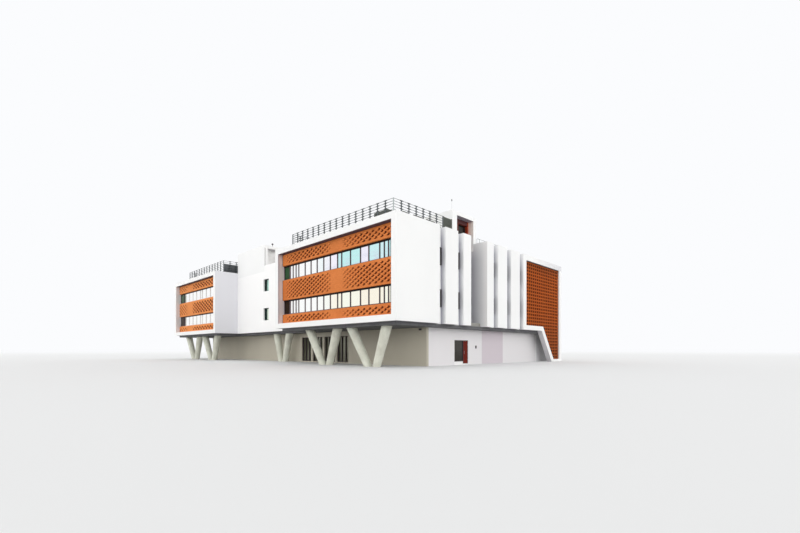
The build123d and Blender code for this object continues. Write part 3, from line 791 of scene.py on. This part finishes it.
def quads(columns: int, rows: int, closed: bool = False) -> np.ndarray:
    """Return the quads of a grid whose vertices run along each row first.

    Quad (i, j) joins the vertices j * columns + i, its right neighbour, the one above that and the
    one above itself, so it faces the side from which columns run right and rows run up.

    Args:
        columns: Vertices along a row.
        rows: Rows of vertices.
        closed: Whether each row is a ring, whose last vertex has the first one at its right.

    Returns:
        One row of four indices a quad.
    """
    column = np.arange(columns if closed else columns - 1)
    row = np.arange(rows - 1)[:, None] * columns
    low, right = (row + column).ravel(), (row + (column + 1) % columns).ravel()
    return np.stack([low, right, right + columns, low + columns], axis=1)


def closed_slab(grid: np.ndarray, axis: int, inner: float) -> Shell:
    """Close a grid surface into a slab with a flat inner side.

    The grid's edge loop is repeated at the inner place, quads join both loops and one flat face
    closes the inner side. The grid's columns run to the right as seen from outside.

    Args:
        grid: X, Y and Z of the surface, one row a grid row.
        axis: Number of the axis that the inner side is square to.
        inner: Place of the inner side on that axis.

    Returns:
        Vertices, the grid's first, and faces.
    """
    rows, columns = grid.shape[:2]
    face = grid.reshape(-1, 3)
    index = np.arange(rows * columns).reshape(rows, columns)
    loop = np.concatenate([index[0, :-1], index[:-1, -1], index[-1, :0:-1], index[:0:-1, 0]])
    behind = face[loop].copy()
    behind[:, axis] = inner
    turned = np.arange(len(loop)) + len(face)
    sides = np.stack([np.roll(loop, -1), loop, turned, np.roll(turned, -1)], axis=1)
    faces = quads(columns, rows).tolist() + sides.tolist() + [turned[::-1].tolist()]
    return np.concatenate([face, behind]), faces


def bowl(count: int) -> tuple[np.ndarray, np.ndarray, np.ndarray]:
    """Return a square grid and a shallow bowl on it, ((2 s - 1)^2 + (2 t - 1)^2) / 2.

    Args:
        count: Grid lines each way.

    Returns:
        s along it, t up it, both from 0 to 1, and the bowl, which is 1 at the corners.
    """
    s, t = np.meshgrid(np.linspace(0, 1, count), np.linspace(0, 1, count))
    return s, t, ((2 * s - 1) ** 2 + (2 * t - 1) ** 2) / 2


def circle(radius: float, turns: int = 10) -> np.ndarray:
    """Return a circle's corners, (radius cos a, radius sin a), as rows of two numbers.

    Args:
        radius: Its radius.
        turns: Its corners.

    Returns:
        The corners, counterclockwise.
    """
    angle = np.linspace(0, 2 * math.pi, turns, endpoint=False)
    return radius * np.column_stack([np.cos(angle), np.sin(angle)])


def chamfered(a: float, b: float, cut: float) -> np.ndarray:
    """Return a rectangle with cut corners: a corner (a, b) gives (a, b - cut) and (a - cut, b).

    Args:
        a: Half its size along the side direction.
        b: Half its size across.
        cut: Size of the cuts.

    Returns:
        Eight corners, counterclockwise.
    """
    return np.array([(a, b - cut), (a - cut, b), (cut - a, b), (-a, b - cut),
                     (-a, cut - b), (cut - a, -b), (a - cut, -b), (a, cut - b)])


def sweep(path: np.ndarray, side: np.ndarray, profile: np.ndarray) -> Shell:
    """Sweep a profile along a path that lies in one plane.

    At a point p with direction d a corner (a, b) of the profile is laid at p + a side + b d x side.

    Args:
        path: One row a point.
        side: Unit vector square to the path's plane.
        profile: Corners of the profile, counterclockwise.

    Returns:
        Vertices and faces, closed by a flat face at each end.
    """
    direction = np.gradient(path, axis=0)
    direction /= np.linalg.norm(direction, axis=1, keepdims=True)
    across = np.cross(direction, side)[:, None, :]
    turns = len(profile)
    ring = path[:, None, :] + profile[None, :, :1] * side + profile[None, :, 1:] * across
    last = (len(path) - 1) * turns
    caps = [list(range(turns)), list(range(last + turns - 1, last - 1, -1))]
    return ring.reshape(-1, 3), quads(turns, len(path), True)[:, [0, 3, 2, 1]].tolist() + caps


@dataclass(kw_only=True)
class Piece:
    """Closed shells gathered into one mesh that rides on the building."""

    name: str
    slot: Slot = Slot.DARK_FRAME
    stands_for: str = ""
    vertices: list[np.ndarray] = field(default_factory=list)
    faces: list[list[int]] = field(default_factory=list)
    numbers: dict[str, list[np.ndarray]] = field(default_factory=dict)

    def add(self, shell: Shell, **numbers: object) -> None:
        """Add one shell.

        Args:
            shell: Its vertices, and its faces numbered from its own first vertex.
            **numbers: Values of each named attribute: one for all its vertices, or an array for the
                first ones, after which the rest get 0.
        """
        vertices, faces = shell
        count = sum(map(len, self.vertices))
        self.faces.extend((np.array(face) + count).tolist() for face in faces)
        self.vertices.append(vertices)
        for name, values in numbers.items():
            padded = np.zeros(len(vertices), dtype=np.float32)
            padded[:np.size(values) if np.ndim(values) else None] = np.ravel(values)
            self.numbers.setdefault(name, []).append(padded)

    def bar(self, start: Triple, end: Triple, profile: np.ndarray, side: Triple = (1, 0, 0)
            ) -> None:
        """Add a straight bar.

        Args:
            start: Middle of its first end.
            end: Middle of its last end.
            profile: Corners of its section.
            side: Unit vector square to the bar, the section's first direction.
        """
        self.add(sweep(np.array([start, end], dtype=float), np.array(side, dtype=float), profile))

    def shape(self) -> None:
        """Add the shells, in the way of each kind of piece."""

    def build(self, material: Material) -> None:
        """Shape the piece and put it into the scene, in place of a node if it stands for one.

        Args:
            material: Its finish.
        """
        self.shape()
        mesh = bpy.data.meshes.new(self.name)
        mesh.from_pydata(np.concatenate(self.vertices).tolist(), [], self.faces)
        mesh.update()
        mesh.materials.append(material)
        for title, values in self.numbers.items():
            attribute = mesh.attributes.new(title, "FLOAT", "POINT")
            attribute.data.foreach_set("value", np.concatenate(values))
        piece = bpy.data.objects.new(self.name, mesh)
        bpy.context.scene.collection.objects.link(piece)
        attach(piece, "building")
        if self.stands_for:
            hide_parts(self.stands_for)
        log.info("%s: %d vertices, %d faces", self.name, len(mesh.vertices), len(self.faces))


@dataclass(frozen=True)
class ReliefField:
    """Rounded clay blocks on every other cell of a band, whose rise swells along the wing."""

    cell_width: float = 0.2075
    cell_height: float = 0.109
    rise: float = 0.062
    flat_courses: int = 1
    steps_along: tuple[float, ...] = (0.0, 0.12, 0.26, 0.42, 0.6, 0.74, 0.86, 0.95)
    steps_up: tuple[float, ...] = (0.0, 0.14, 0.32, 0.52, 0.72, 0.88)
    centre: Pair = (0.46, 0.56)
    half: Pair = (0.46, 0.5)
    end_shadow_width: float = 0.03
    flat_shadow: float | None = None
    roundness: float = 0.6
    crescent_turn: Triple = (1.5, 0.6, 0.28)
    crescent_reach: Pair = (0.62, 0.25)
    cast_up: Pair = (0.8, 0.4)
    cast_along: Pair = (0.3, 0.24)
    lit_centre: Pair = (-0.12, 0.1)
    lit_half: Pair = (0.42, 0.45)
    lit_reach: float = 1.15

    def surface(self, length: float, height: float, places: tuple[Pair, ...]
                ) -> tuple[np.ndarray, ...]:
        """Work out the relief's height on a grid.

        In a raised cell, with u from its left to its right edge, v from its lower to its upper one
        and r = ((u - centre) / half, (v - centre) / half)'s length, the height is rise * strength *
        (1 - r^2) ^ roundness inside r = 1. Raised cells alternate like the dark squares of a
        chessboard. The painted shadow value is a crescent around the block's right and lower side,
        with a short painted cast shadow on the flat cell beside it, and the painted highlight value
        lies on the upper left. With a flat shadow the flat cells are evenly darkened by painted
        shadow instead, as they look from afar. Thin lines at the band's ends get full painted
        shadow. The strength is 3 s^2 - 2 s^3, with s on straight lines between the given places.

        Args:
            length: The band's length.
            height: The band's height.
            places: Pairs of a place, 0 at the left end and 1 at the right one, and an s there.

        Returns:
            Places along the band, places up it, then heights, painted shadow and painted highlight
            values, one row a grid row.
        """
        cells, courses = round(length / self.cell_width), round(height / self.cell_height)
        cell = np.append(np.repeat(np.arange(cells), len(self.steps_along)), cells)
        u = np.append(np.tile(self.steps_along, cells), 0.0)
        course = np.append(np.repeat(np.arange(courses), len(self.steps_up)), courses)
        v = np.append(np.tile(self.steps_up, courses), 0.0)
        active = ((course >= self.flat_courses) & (course < courses - self.flat_courses))[:, None]
        swell = np.interp((cell + 0.5) / cells, *zip(*places))
        strength = swell * swell * (3 - 2 * swell) * (cell < cells)
        shown = strength[None, :] * active
        raised = (cell[None, :] + course[:, None]) % 2 == 0
        across, above = (u - self.centre[0])[None, :], (v - self.centre[1])[:, None]
        radius = np.hypot(across / self.half[0], above / self.half[1])
        lift = np.clip(1 - radius ** 2, 0, 1) ** self.roundness * shown * raised
        # Painted shadow: a crescent on each raised block's right and lower side, and a short cast
        # on the flat cell beside it
        right, down, soft = self.crescent_turn
        crescent = (np.clip((radius - self.crescent_reach[0]) / self.crescent_reach[1], 0, 1)
                    * np.clip((across * right - above * down) / soft, 0, 1))
        beside = np.outer(np.clip((self.cast_up[0] - np.abs(2 * v - 1)) / self.cast_up[1], 0, 1),
                          np.clip((self.cast_along[0] - u) / self.cast_along[1], 0, 1))
        # From afar the flat cells take an even painted shadow and the crescents go
        if self.flat_shadow is not None:
            crescent, beside = np.zeros_like(crescent), np.full_like(beside, self.flat_shadow)
        pocket = np.where(raised, crescent, beside) * shown
        # Painted highlight on the upper left of each raised block
        far = np.hypot((across - self.lit_centre[0]) / self.lit_half[0],
                       (above - self.lit_centre[1]) / self.lit_half[1])
        lit = np.clip(self.lit_reach - far, 0, 1)
        along = (cell + u) * length / cells
        # Thin lines at both ends of the band get full painted shadow
        ends = (along < self.end_shadow_width) | (along > length - self.end_shadow_width)
        return (along, (course + v) * height / courses, lift * self.rise,
                np.maximum(pocket, ends[None, :]), np.where(raised, lit, 0.0) * shown)


@dataclass(kw_only=True)
class ClayFacade(Piece):
    """Clay bands of one wing's front or back, each a closed slab with the relief on its face."""

    slot: Slot = Slot.TERRACOTTA
    low_x: float = -13.7
    high_x: float
    face_y: float
    thickness: float = 0.175
    places: tuple[Pair, ...]
    relief: ReliefField = ReliefField()
    band_heights: tuple[Pair, ...] = ((2.345, 2.88), (3.73, 4.91), (5.76, 6.425))

    def shape(self) -> None:
        """Add a slab for each band."""
        outwards = math.copysign(1.0, self.face_y)
        start_x = self.low_x if outwards < 0 else self.high_x
        for low_z, high_z in self.band_heights:
            along, up, lift, pocket, crest = self.relief.surface(
                self.high_x - self.low_x, high_z - low_z, self.places)
            x = start_x - outwards * np.broadcast_to(along, lift.shape)
            z = low_z + np.broadcast_to(up[:, None], lift.shape)
            grid = np.stack([x, self.face_y + outwards * lift, z], axis=-1)
            # The relief's painted shadow and painted highlight go onto the slab's vertices
            self.add(closed_slab(grid, 1, self.face_y - outwards * self.thickness), pocket=pocket,
                     crest=crest * (1 - pocket))


@dataclass(kw_only=True)
class StripPanes(Piece):
    """Separate panes of the front's strip windows, each a little pillowed, with its own tint."""

    name: str = "strip_panes"
    slot: Slot = Slot.GLASS
    stands_for: str = "front_window_glass"
    stretches: tuple[tuple[float, float, int, tuple[float, ...]], ...] = (
        (4.2, 13.7, 1, (645, 330, 313, 287, 660, 585, 584, 609, 586, 622, 338, 702, 758, 606, 749,
                        304, 278, 165, 427)),
        (-13.7, -5.37, 2, (830, 415, 830, 830, 830, 830, 415, 830, 830, 830, 415, 415)))
    upper_hues: tuple[float, ...] = (0.5, 0.6, 0.5, 0.4, 0.7, 0.8, 0.6, 0.4, 0.9, 1, 0.1, 0, 0, 1,
                                     0.2, 0.3, 0.2, 0.1, 0.9)
    outer_y: float = -7.9325
    inner_y: float = -7.9205
    pillow: float = 0.004
    edge_start: float = 0.6
    grid_lines: int = 8
    seed: int = 5

    def shape(self) -> None:
        """Add every pane.

        A pane's face lies at outer_y + pillow * ((2 s - 1)^2 + (2 t - 1)^2) / 2, with s and t from
        0 to 1 along it and up it. Panes meet behind the middle of each mullion. A stretch of the
        strip has its two ends, the number of panes at its left that carry the painted dark
        reflection of the shaded return, and the shares of its panes.
        """
        rng = np.random.default_rng(self.seed)
        s, t, hollow = bowl(self.grid_lines)
        outwards = np.maximum(np.abs(2 * s - 1), np.abs(2 * t - 1))
        edge = np.clip((outwards - self.edge_start) / (1 - self.edge_start), 0, 1)
        for low_x, high_x, dark_panes, bays in self.stretches:
            edges = low_x + (high_x - low_x) * np.concatenate([[0], np.cumsum(bays)]) / sum(bays)
            for low_z, high_z in WINDOW_ROWS:
                for number, (start, end) in enumerate(zip(edges[:-1], edges[1:])):
                    grid = np.stack([start + (end - start) * s, self.outer_y + self.pillow * hollow,
                                     low_z + (high_z - low_z) * t], axis=-1)
                    hue = rng.uniform(0, 1)
                    if start > 0 and low_z > WINDOW_ROWS[0][0]:
                        hue = self.upper_hues[number]
                    # A pane marked dark carries the painted dark reflection of the shaded return
                    self.add(closed_slab(grid, 1, self.inner_y), hue=hue, edge=edge,
                             dark=number < dark_panes)


@dataclass(kw_only=True)
class RoofHandrail(Piece):
    """Bent tube on the roof behind the fins, with one post under it."""

    name: str = "roof_handrail"
    slot: Slot = Slot.RAILING
    x: float = 13.3
    start_y: float = -1.25
    end_y: float = 1.0
    post_y: float = -0.99
    top: float = 7.02
    wall_top: float = 6.73
    bend: float = 0.07
    bend_points: int = 7
    radius: float = 0.009

    def shape(self) -> None:
        """Add the tube, which rises, turns through a quarter circle, runs level and comes down."""
        angle = np.linspace(0, math.pi / 2, self.bend_points)
        rise, run = self.bend * (1 - np.sin(angle)), self.bend * (1 - np.cos(angle))
        bends = (np.column_stack([self.start_y + run, self.top - rise]),
                 np.column_stack([self.end_y - rise, self.top - run]))
        flat = np.concatenate([[[self.start_y, self.wall_top]], *bends, [[self.end_y, ROOF]]])
        for line in (flat, np.array([[self.post_y, ROOF], [self.post_y, self.top]])):
            path = np.column_stack([np.full(len(line), self.x), line])
            self.add(sweep(path, np.array([1.0, 0.0, 0.0]), circle(self.radius)))


@dataclass(kw_only=True)
class RailSleeves(Piece):
    """Short sleeves where the upper bars of a railing pass through its posts."""

    slot: Slot = Slot.RAILING
    corner: Pair
    bay: float
    front_bays: int
    height: float
    side_bay: float = 0.5
    side_bays: int = 7
    bars: int = 10
    lowest_bar: int = 4
    half_length: float = 0.1
    radius: float = 0.022
    bar_half: float = 0.007

    def shape(self) -> None:
        """Add the sleeves of the front run and of both side runs."""
        corner_x, front_y = self.corner
        shares = np.arange(self.lowest_bar, self.bars + 1) / self.bars
        half, section, up = self.half_length, circle(self.radius, 8), (0, 0, 1)
        for z in ROOF + self.height * shares - self.bar_half:
            for x in corner_x - self.bay * np.arange(1, self.front_bays):
                self.bar((x - half, front_y, z), (x + half, front_y, z), section, up)
            for y in front_y + self.side_bay * np.arange(1, self.side_bays):
                for x in (corner_x, corner_x - self.bay * self.front_bays):
                    self.bar((x, y - half, z), (x, y + half, z), section, up)


@dataclass(kw_only=True)
class Lamp(Piece):
    """Small rounded lamp housing."""

    centre: Triple
    half: Triple
    power: float = 4.0
    turns: int = 24
    levels: int = 11

    def shape(self) -> None:
        """Add the housing.

        The surface is a rounded block over longitude u and latitude v: each coordinate is its half
        size times sign(c) |c| ^ (2 / power), with c the matching coordinate of a ball.
        """
        u = np.linspace(0, 2 * math.pi, self.turns, endpoint=False)
        v = np.linspace(-math.pi / 2, math.pi / 2, self.levels + 2)[1:-1]
        ring = np.stack([np.outer(np.cos(v), np.cos(u)), np.outer(np.cos(v), np.sin(u)),
                         np.outer(np.sin(v), np.ones(self.turns))], axis=-1).reshape(-1, 3)
        ball = np.concatenate([ring, [[0, 0, -1], [0, 0, 1]]])
        block = np.sign(ball) * np.abs(ball) ** (2 / self.power)
        first = np.arange(self.turns)
        last = first + len(ring) - self.turns
        faces = quads(self.turns, self.levels, True).tolist()
        faces += [[len(ring), int(b), int(a)] for a, b in zip(first, np.roll(first, -1))]
        faces += [[len(ring) + 1, int(a), int(b)] for a, b in zip(last, np.roll(last, -1))]
        self.add((block * self.half + self.centre, faces))


@dataclass(kw_only=True)
class ScreenField(Piece):
    """The opening of the framed screen, which steps and slopes at its near side."""

    slot: Slot = Slot.TERRACOTTA
    stands_for: str = "terracotta_screen"
    low_y: float = 3.1375
    high_y: float = 8.0225
    low_z: float = 0.165
    step_z: float = 2.345
    high_z: float = 6.395
    step_y: float = 5.448
    slope: float = 0.74029
    pitch_y: float = 0.2715
    pitch_z: float = 0.21

    def near_end(self, z: float) -> float:
        """Return the frame's near edge at a height: upright above the step and sloping below it.

        Args:
            z: The height.

        Returns:
            Y of the edge.
        """
        return self.low_y if z >= self.step_z else self.step_y + (self.step_z - z) * self.slope


@dataclass(kw_only=True)
class ScreenShadeSheet(ScreenField):
    """Dark rippled sheet behind the lattice, in an upper and a lower part, put there as painted
    shade behind the holes.
    """

    name: str = "screen_shade_sheet"
    face_x: float = 13.908
    back_x: float = 13.9055
    ripple: float = 0.002
    part_gap: float = 0.0001
    lines_along: int = 73
    lines_up: int = 9

    def shape(self) -> None:
        """Add both parts.

        With s from 0 to 1 between the frame's edges and t up the part, x is face_x + ripple *
        cos(2 pi y / pitch_y).
        """
        s = np.linspace(0, 1, self.lines_along)[None, :]
        for low, high in ((self.low_z, self.step_z - self.part_gap), (self.step_z, self.high_z)):
            z = np.linspace(low, high, self.lines_up)[:, None]
            near = np.array([[self.near_end(float(level))] for level in z[:, 0]])
            y = near + (self.high_y - near) * s
            x = self.face_x + self.ripple * np.cos(2 * math.pi * y / self.pitch_y)
            grid = np.stack([x, y, np.broadcast_to(z, y.shape)], axis=-1)
            self.add(closed_slab(grid, 0, self.back_x))


@dataclass(kw_only=True)
class ScreenLattice(ScreenField):
    """Clay lattice of the framed screen: level courses with uprights between them."""

    name: str = "screen_lattice"
    hole_width: float = 0.14
    hole_height: float = 0.118
    middle_x: float = 13.934
    half_depth: float = 0.018
    set_back: float = 0.003
    overlap: float = 0.006
    near_gap: float = 0.09
    far_gap: float = 0.04
    head_gap: float = 0.045
    bevel: float = 0.008

    def shape(self) -> None:
        """Add the courses, and then the uprights of each course, from the far end on."""
        x, half = self.middle_x, (self.pitch_z - self.hole_height) / 2
        wide = (self.pitch_y - self.hole_width) / 2
        course = chamfered(self.half_depth, half, self.bevel)
        upright = chamfered(self.half_depth - self.set_back, wide, self.bevel)
        far = self.high_y - self.far_gap
        top = self.high_z - self.head_gap - half
        levels = np.arange(top, self.low_z + half, -self.pitch_z)[::-1]
        for z in levels:
            self.bar((x, self.near_end(z - half) + self.near_gap, z), (x, far, z), course)
        for z in levels[:-1]:
            near = self.near_end(z + half) + self.near_gap
            low, high = z + half - self.overlap, z + self.pitch_z - half + self.overlap
            for y in np.arange(far - wide, near + wide, -self.pitch_y):
                self.bar((x, y, low), (x, y, high), upright)


@dataclass(kw_only=True)
class WindowLiners(Piece):
    """Dark liners around the tall side windows, standing a little proud of the wall."""

    name: str = "side_window_liners"
    gaps: tuple[Pair, ...] = ((-5.4475, -4.9925), (-3.9875, -3.5325), (-0.6625, -0.2075),
                              (0.7975, 1.2525), (2.2975, 2.7525))
    wall_x: float = 13.725
    proud: float = 0.06
    half_width: float = 0.02
    margin: float = 0.003
    bevel: float = 0.004

    def shape(self) -> None:
        """Add four chamfered bars around each window."""
        x, inset = self.wall_x + self.proud / 2, self.half_width + self.margin
        bar = chamfered(self.proud / 2, self.half_width, self.bevel)
        for near, far in self.gaps:
            for low, high in WINDOW_ROWS:
                for y in (near + inset, far - inset):
                    self.bar((x, y, low), (x, y, high), bar)
                for z in (low + self.half_width, high - self.half_width):
                    self.bar((x, near + self.margin, z), (x, far - self.margin, z), bar)


@dataclass(kw_only=True)
class SlotFrame(Piece):
    """Tall frame at the back of the slot: uprights, one off its middle, transoms and a head."""

    name: str = "slot_frame_bars"
    slot: Slot = Slot.RED_FRAME
    stands_for: str = "slot_frame"
    near_y: float = -2.8625
    far_y: float = -1.3325
    mullion_y: float = -2.32
    low_z: float = 2.26
    high_z: float = 8.0
    row_pitch: float = 0.9567
    rows: int = 6
    middle_x: float = 12.706
    half_depth: float = 0.077
    set_back: float = 0.002
    half_bar: float = 0.055
    half_head: float = 0.12
    bevel: float = 0.008

    def shape(self) -> None:
        """Add the uprights, the transoms a little behind them and the head between both depths."""
        x = self.middle_x
        upright, head, transom = (
            chamfered(self.half_depth - step * self.set_back, half, self.bevel)
            for step, half in enumerate((self.half_bar, self.half_head, self.half_bar)))
        for y in (self.near_y + self.half_bar, self.mullion_y, self.far_y - self.half_bar):
            self.bar((x, y, self.low_z), (x, y, self.high_z), upright)
        for z in self.low_z + self.half_bar + self.row_pitch * np.arange(self.rows):
            self.bar((x, self.near_y, z), (x, self.far_y, z), transom)
        top = self.high_z - self.half_head
        self.bar((x, self.near_y, top), (x, self.far_y, top), head)


@dataclass(kw_only=True)
class RoofLouvres(Piece):
    """Louvre panels at the railings: posts, chamfered blades and a folded sheet behind them."""

    name: str = "louvre_blades"
    slot: Slot = Slot.LOUVRE
    stands_for: str = "roof_louvres"
    panels: tuple[tuple[float, float, float, float], ...] = (
        (13.325, -4.2975, 0.7, 1.23), (-5.545, -7.5125, 1.56, 1.13))
    post_half: Pair = (0.03, 0.02)
    blade_half: Pair = (0.014, 0.012)
    blade_x: float = 0.01
    blade_pitch: float = 0.05
    sheet_x: float = -0.014
    sheet_back: float = -0.026
    fold: float = 0.006
    lines_up: int = 97
    lines_along: int = 5
    end_gap: float = 0.03
    level_gap: float = 0.02
    bevel: float = 0.004

    def shape(self) -> None:
        """Add both panels.

        The sheet's face is x + sheet_x + fold * cos(2 pi t / blade_pitch), with t its height above
        the roof. A blade's section is swept along Y.
        """
        post = chamfered(*self.post_half, self.bevel)
        blade = chamfered(*self.blade_half, self.bevel)
        for x, start, length, height in self.panels:
            half, near, far = self.post_half[1], start + self.end_gap, start + length - self.end_gap
            for y in (start + half, start + length - half):
                self.bar((x, y, ROOF), (x, y, ROOF + height), post)
            t, y = np.meshgrid(np.linspace(0, height, self.lines_up),
                               np.linspace(near, far, self.lines_along), indexing="ij")
            face = x + self.sheet_x + self.fold * np.cos(2 * math.pi * t / self.blade_pitch)
            self.add(closed_slab(np.stack([face, y, ROOF + t], axis=-1), 0, x + self.sheet_back))
            for z in ROOF + np.arange(self.level_gap, height - self.level_gap, self.blade_pitch):
                self.bar((x + self.blade_x, near, z), (x + self.blade_x, far, z), blade)


@dataclass(kw_only=True)
class WallEnd(Piece):
    """Ground floor wall behind the foot of the sloping frame, with a face that bows a little."""

    name: str = "ground_wall_end"
    slot: Slot = Slot.WHITE_RENDER
    near_y: float = 6.3175
    far_y: float = 8.1
    outer_x: float = 13.122
    inner_x: float = 12.98
    top: float = 1.91
    bow: float = 0.002
    grid_lines: int = 19

    def shape(self) -> None:
        """Add the wall, whose x is outer_x - bow * ((2 s - 1)^2 + (2 t - 1)^2) / 2."""
        s, t, hollow = bowl(self.grid_lines)
        grid = np.stack([self.outer_x - self.bow * hollow,
                         self.near_y + (self.far_y - self.near_y) * s, self.top * t], axis=-1)
        self.add(closed_slab(grid, 0, self.inner_x))


@dataclass
class Dresser:
    """Gives every solid of the frame its finish, by its slot or by its own name."""

    materials: dict[str, Material] = field(default_factory=dict)

    def material(self, key: str, finish: Finish) -> Material:
        """Return a finish's material, made once for each key.

        Args:
            key: The material's name.
            finish: The finish.

        Returns:
            The material.
        """
        if key not in self.materials:
            self.materials[key] = finish.material(key)
        return self.materials[key]

    def of_slot(self, slot: Slot) -> Material:
        """Return the material of a slot.

        Args:
            slot: The slot.

        Returns:
            The material.
        """
        return self.material(slot.value, SLOT_FINISHES[slot])

    def dress(self) -> None:
        """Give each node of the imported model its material."""
        slots = {row["node"]: Slot(row["material_slot"]) for row in frame["record"]["subparts"]}
        for node, solid in frame["nodes"].items():
            if node in NODE_FINISHES:
                material = self.material(node, NODE_FINISHES[node])
            else:
                material = self.of_slot(slots[node])
            if not solid.material_slots:
                solid.data.materials.append(material)
            for place in solid.material_slots:
                place.material = material
            log.info("%s: %s", node, material.name)

    def add_pieces(self) -> None:
        """Build the pieces that the solids leave to the scene."""
        clay, dark = self.of_slot(Slot.TERRACOTTA), self.of_slot(Slot.DARK_FRAME)
        far_clay = self.material("terracotta_b", FAR_CLAY)
        # The far wing's front has its flat cells evenly darkened by painted shadow
        far_relief = ReliefField(*FAR_CELL, flat_shadow=1.0)
        front = {"face_y": -8.0575, "stands_for": "front_terracotta"}
        back = {"face_y": 8.0575, "stands_for": "back_terracotta"}
        wing_a = {"low_x": 4.2, "places": WING_A_RELIEF}
        wing_b = {"high_x": -5.37, "places": WING_B_RELIEF}
        ClayFacade(name="clay_front_a", high_x=13.7, **front, **wing_a).build(clay)
        ClayFacade(name="clay_front_b", relief=far_relief, **front, **wing_b).build(far_clay)
        ClayFacade(name="clay_back_a", high_x=13.575, **back, **wing_a).build(clay)
        ClayFacade(name="clay_back_b", **back, **wing_b).build(clay)
        StripPanes().build(self.material("strip_glass", StripGlass(shades=GLASS_HEADS)))
        ScreenLattice().build(self.material("screen_clay", LATTICE_FINISH))
        ScreenShadeSheet().build(self.material("screen_shade_sheet", SHADE_SHEET_FINISH))
        WindowLiners().build(self.material("liner", Paint((74, 72, 74), 0.5)))
        SlotFrame().build(self.of_slot(Slot.RED_FRAME))
        RoofLouvres().build(self.material("louvre_blades", LOUVRE_FINISH))
        # Painted shade: the wall end's render is laid greyer
        WallEnd().build(self.material("wall_end", Render((), (224, 223, 226))))
        sleeve = self.material("sleeve", Paint((60, 64, 64), 0.5))
        RailSleeves(name="rail_sleeves_a", corner=(13.325, -7.8375), bay=0.522, front_bays=16,
                    height=1.23).build(sleeve)
        RailSleeves(name="rail_sleeves_b", corner=(-5.445, -7.5525), bay=0.553, front_bays=13,
                    height=1.34).build(sleeve)
        RoofHandrail().build(self.material("handrail", Paint((126, 134, 136), 0.5)))
        for name, centre, half, power in LAMPS:
            Lamp(name=name, centre=centre, half=half, power=power).build(dark)
        stem = Piece(name="roof_lamp_stem")
        stem.bar(*STEM_ENDS, circle(STEM_RADIUS))
        stem.build(dark)


@dataclass
class Studio:
    """Pale floor, soft light from all round and the photograph's camera."""

    camera_place: Triple = (26.205, -20.6475, 0.815)
    camera_turn: float = 44.25
    lens: float = 18.455
    sensor_width: float = 36.0
    shift: float = 0.104
    clip_end: float = 2000.0
    floor_half: float = 400.0
    floor_light: tuple[float, ...] = (0.55, 0.55, 0.55, 1.0)
    floor_seen: tuple[float, ...] = (0.83, 0.84, 0.85, 1.0)
    floor_roughness: float = 0.9
    floor_fade: Pair = (45.0, 160.0)
    background: Triple = (251, 252, 254)
    dome: tuple[float, ...] = (1.0, 0.995, 0.985, 1.0)
    horizon_strength: float = 2.5
    zenith_strength: float = 0.8
    zenith_start: float = 0.6

    def light_world(self) -> None:
        """Make the world: a soft dome for the light, and one pale tone where it is seen."""
        world = bpy.data.worlds.new("studio")
        bpy.context.scene.world = world
        nodes = Nodes(world)
        height = nodes.axes(nodes.node("TexCoord").outputs["Generated"])["Z"]
        strength = nodes.ranged(height, 0.0, self.zenith_start, self.horizon_strength,
                                self.zenith_strength)
        light = nodes.node("Background", self.dome, strength)
        seen = nodes.node("Background", self.background)
        path = nodes.node("LightPath").outputs
        either = nodes.math("MAXIMUM", path["Is Camera Ray"], path["Is Glossy Ray"])
        share = nodes.math("MAXIMUM", either, path["Is Transmission Ray"])
        blend = nodes.node("MixShader", share, light.outputs[0], seen.outputs[0])
        nodes.node("OutputWorld", blend.outputs[0])

    def floor(self) -> None:
        """Make the floor, which fades to the background's tone far from the building."""
        half = self.floor_half
        mesh = bpy.data.meshes.new("studio_floor")
        mesh.from_pydata([(-half, -half, 0), (half, -half, 0), (half, half, 0), (-half, half, 0)],
                         [], [(0, 1, 2, 3)])
        floor = bpy.data.objects.new("studio_floor", mesh)
        bpy.context.scene.collection.objects.link(floor)
        graph = Graph("studio_floor")
        seen = graph.node("LightPath").outputs["Is Camera Ray"]
        graph.finish(graph.mix(seen, self.floor_light, self.floor_seen), self.floor_roughness)
        length = graph.node("VectorMath", graph.place)
        length.operation = "LENGTH"
        far = graph.ranged(length.outputs["Value"], *self.floor_fade)
        glow = graph.node("Emission", self.background)
        blend = graph.node("MixShader", far, graph.shader.outputs["BSDF"], glow.outputs[0])
        graph.join(blend.outputs[0], graph.output.inputs["Surface"])
        mesh.materials.append(graph.material)

    def camera(self) -> None:
        """Make the level camera whose view is shifted up, and set it as the scene's."""
        data = bpy.data.cameras.new("photo_camera")
        data.sensor_width = self.sensor_width
        data.lens = self.lens
        data.shift_y = self.shift
        data.clip_end = self.clip_end
        camera = bpy.data.objects.new("photo_camera", data)
        camera.location = self.camera_place
        camera.rotation_euler = (math.radians(90), 0.0, math.radians(self.camera_turn))
        bpy.context.scene.collection.objects.link(camera)
        bpy.context.scene.camera = camera

    def build(self) -> None:
        """Make the world, the floor and the camera, and set the plain view transform."""
        self.light_world()
        self.floor()
        self.camera()
        bpy.context.scene.view_settings.view_transform = "Standard"


def main() -> None:
    """Build the studio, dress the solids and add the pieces."""
    logging.basicConfig(level=logging.INFO)
    Studio().build()
    dresser = Dresser()
    dresser.dress()
    dresser.add_pieces()


if __name__ == "__main__":
    main()
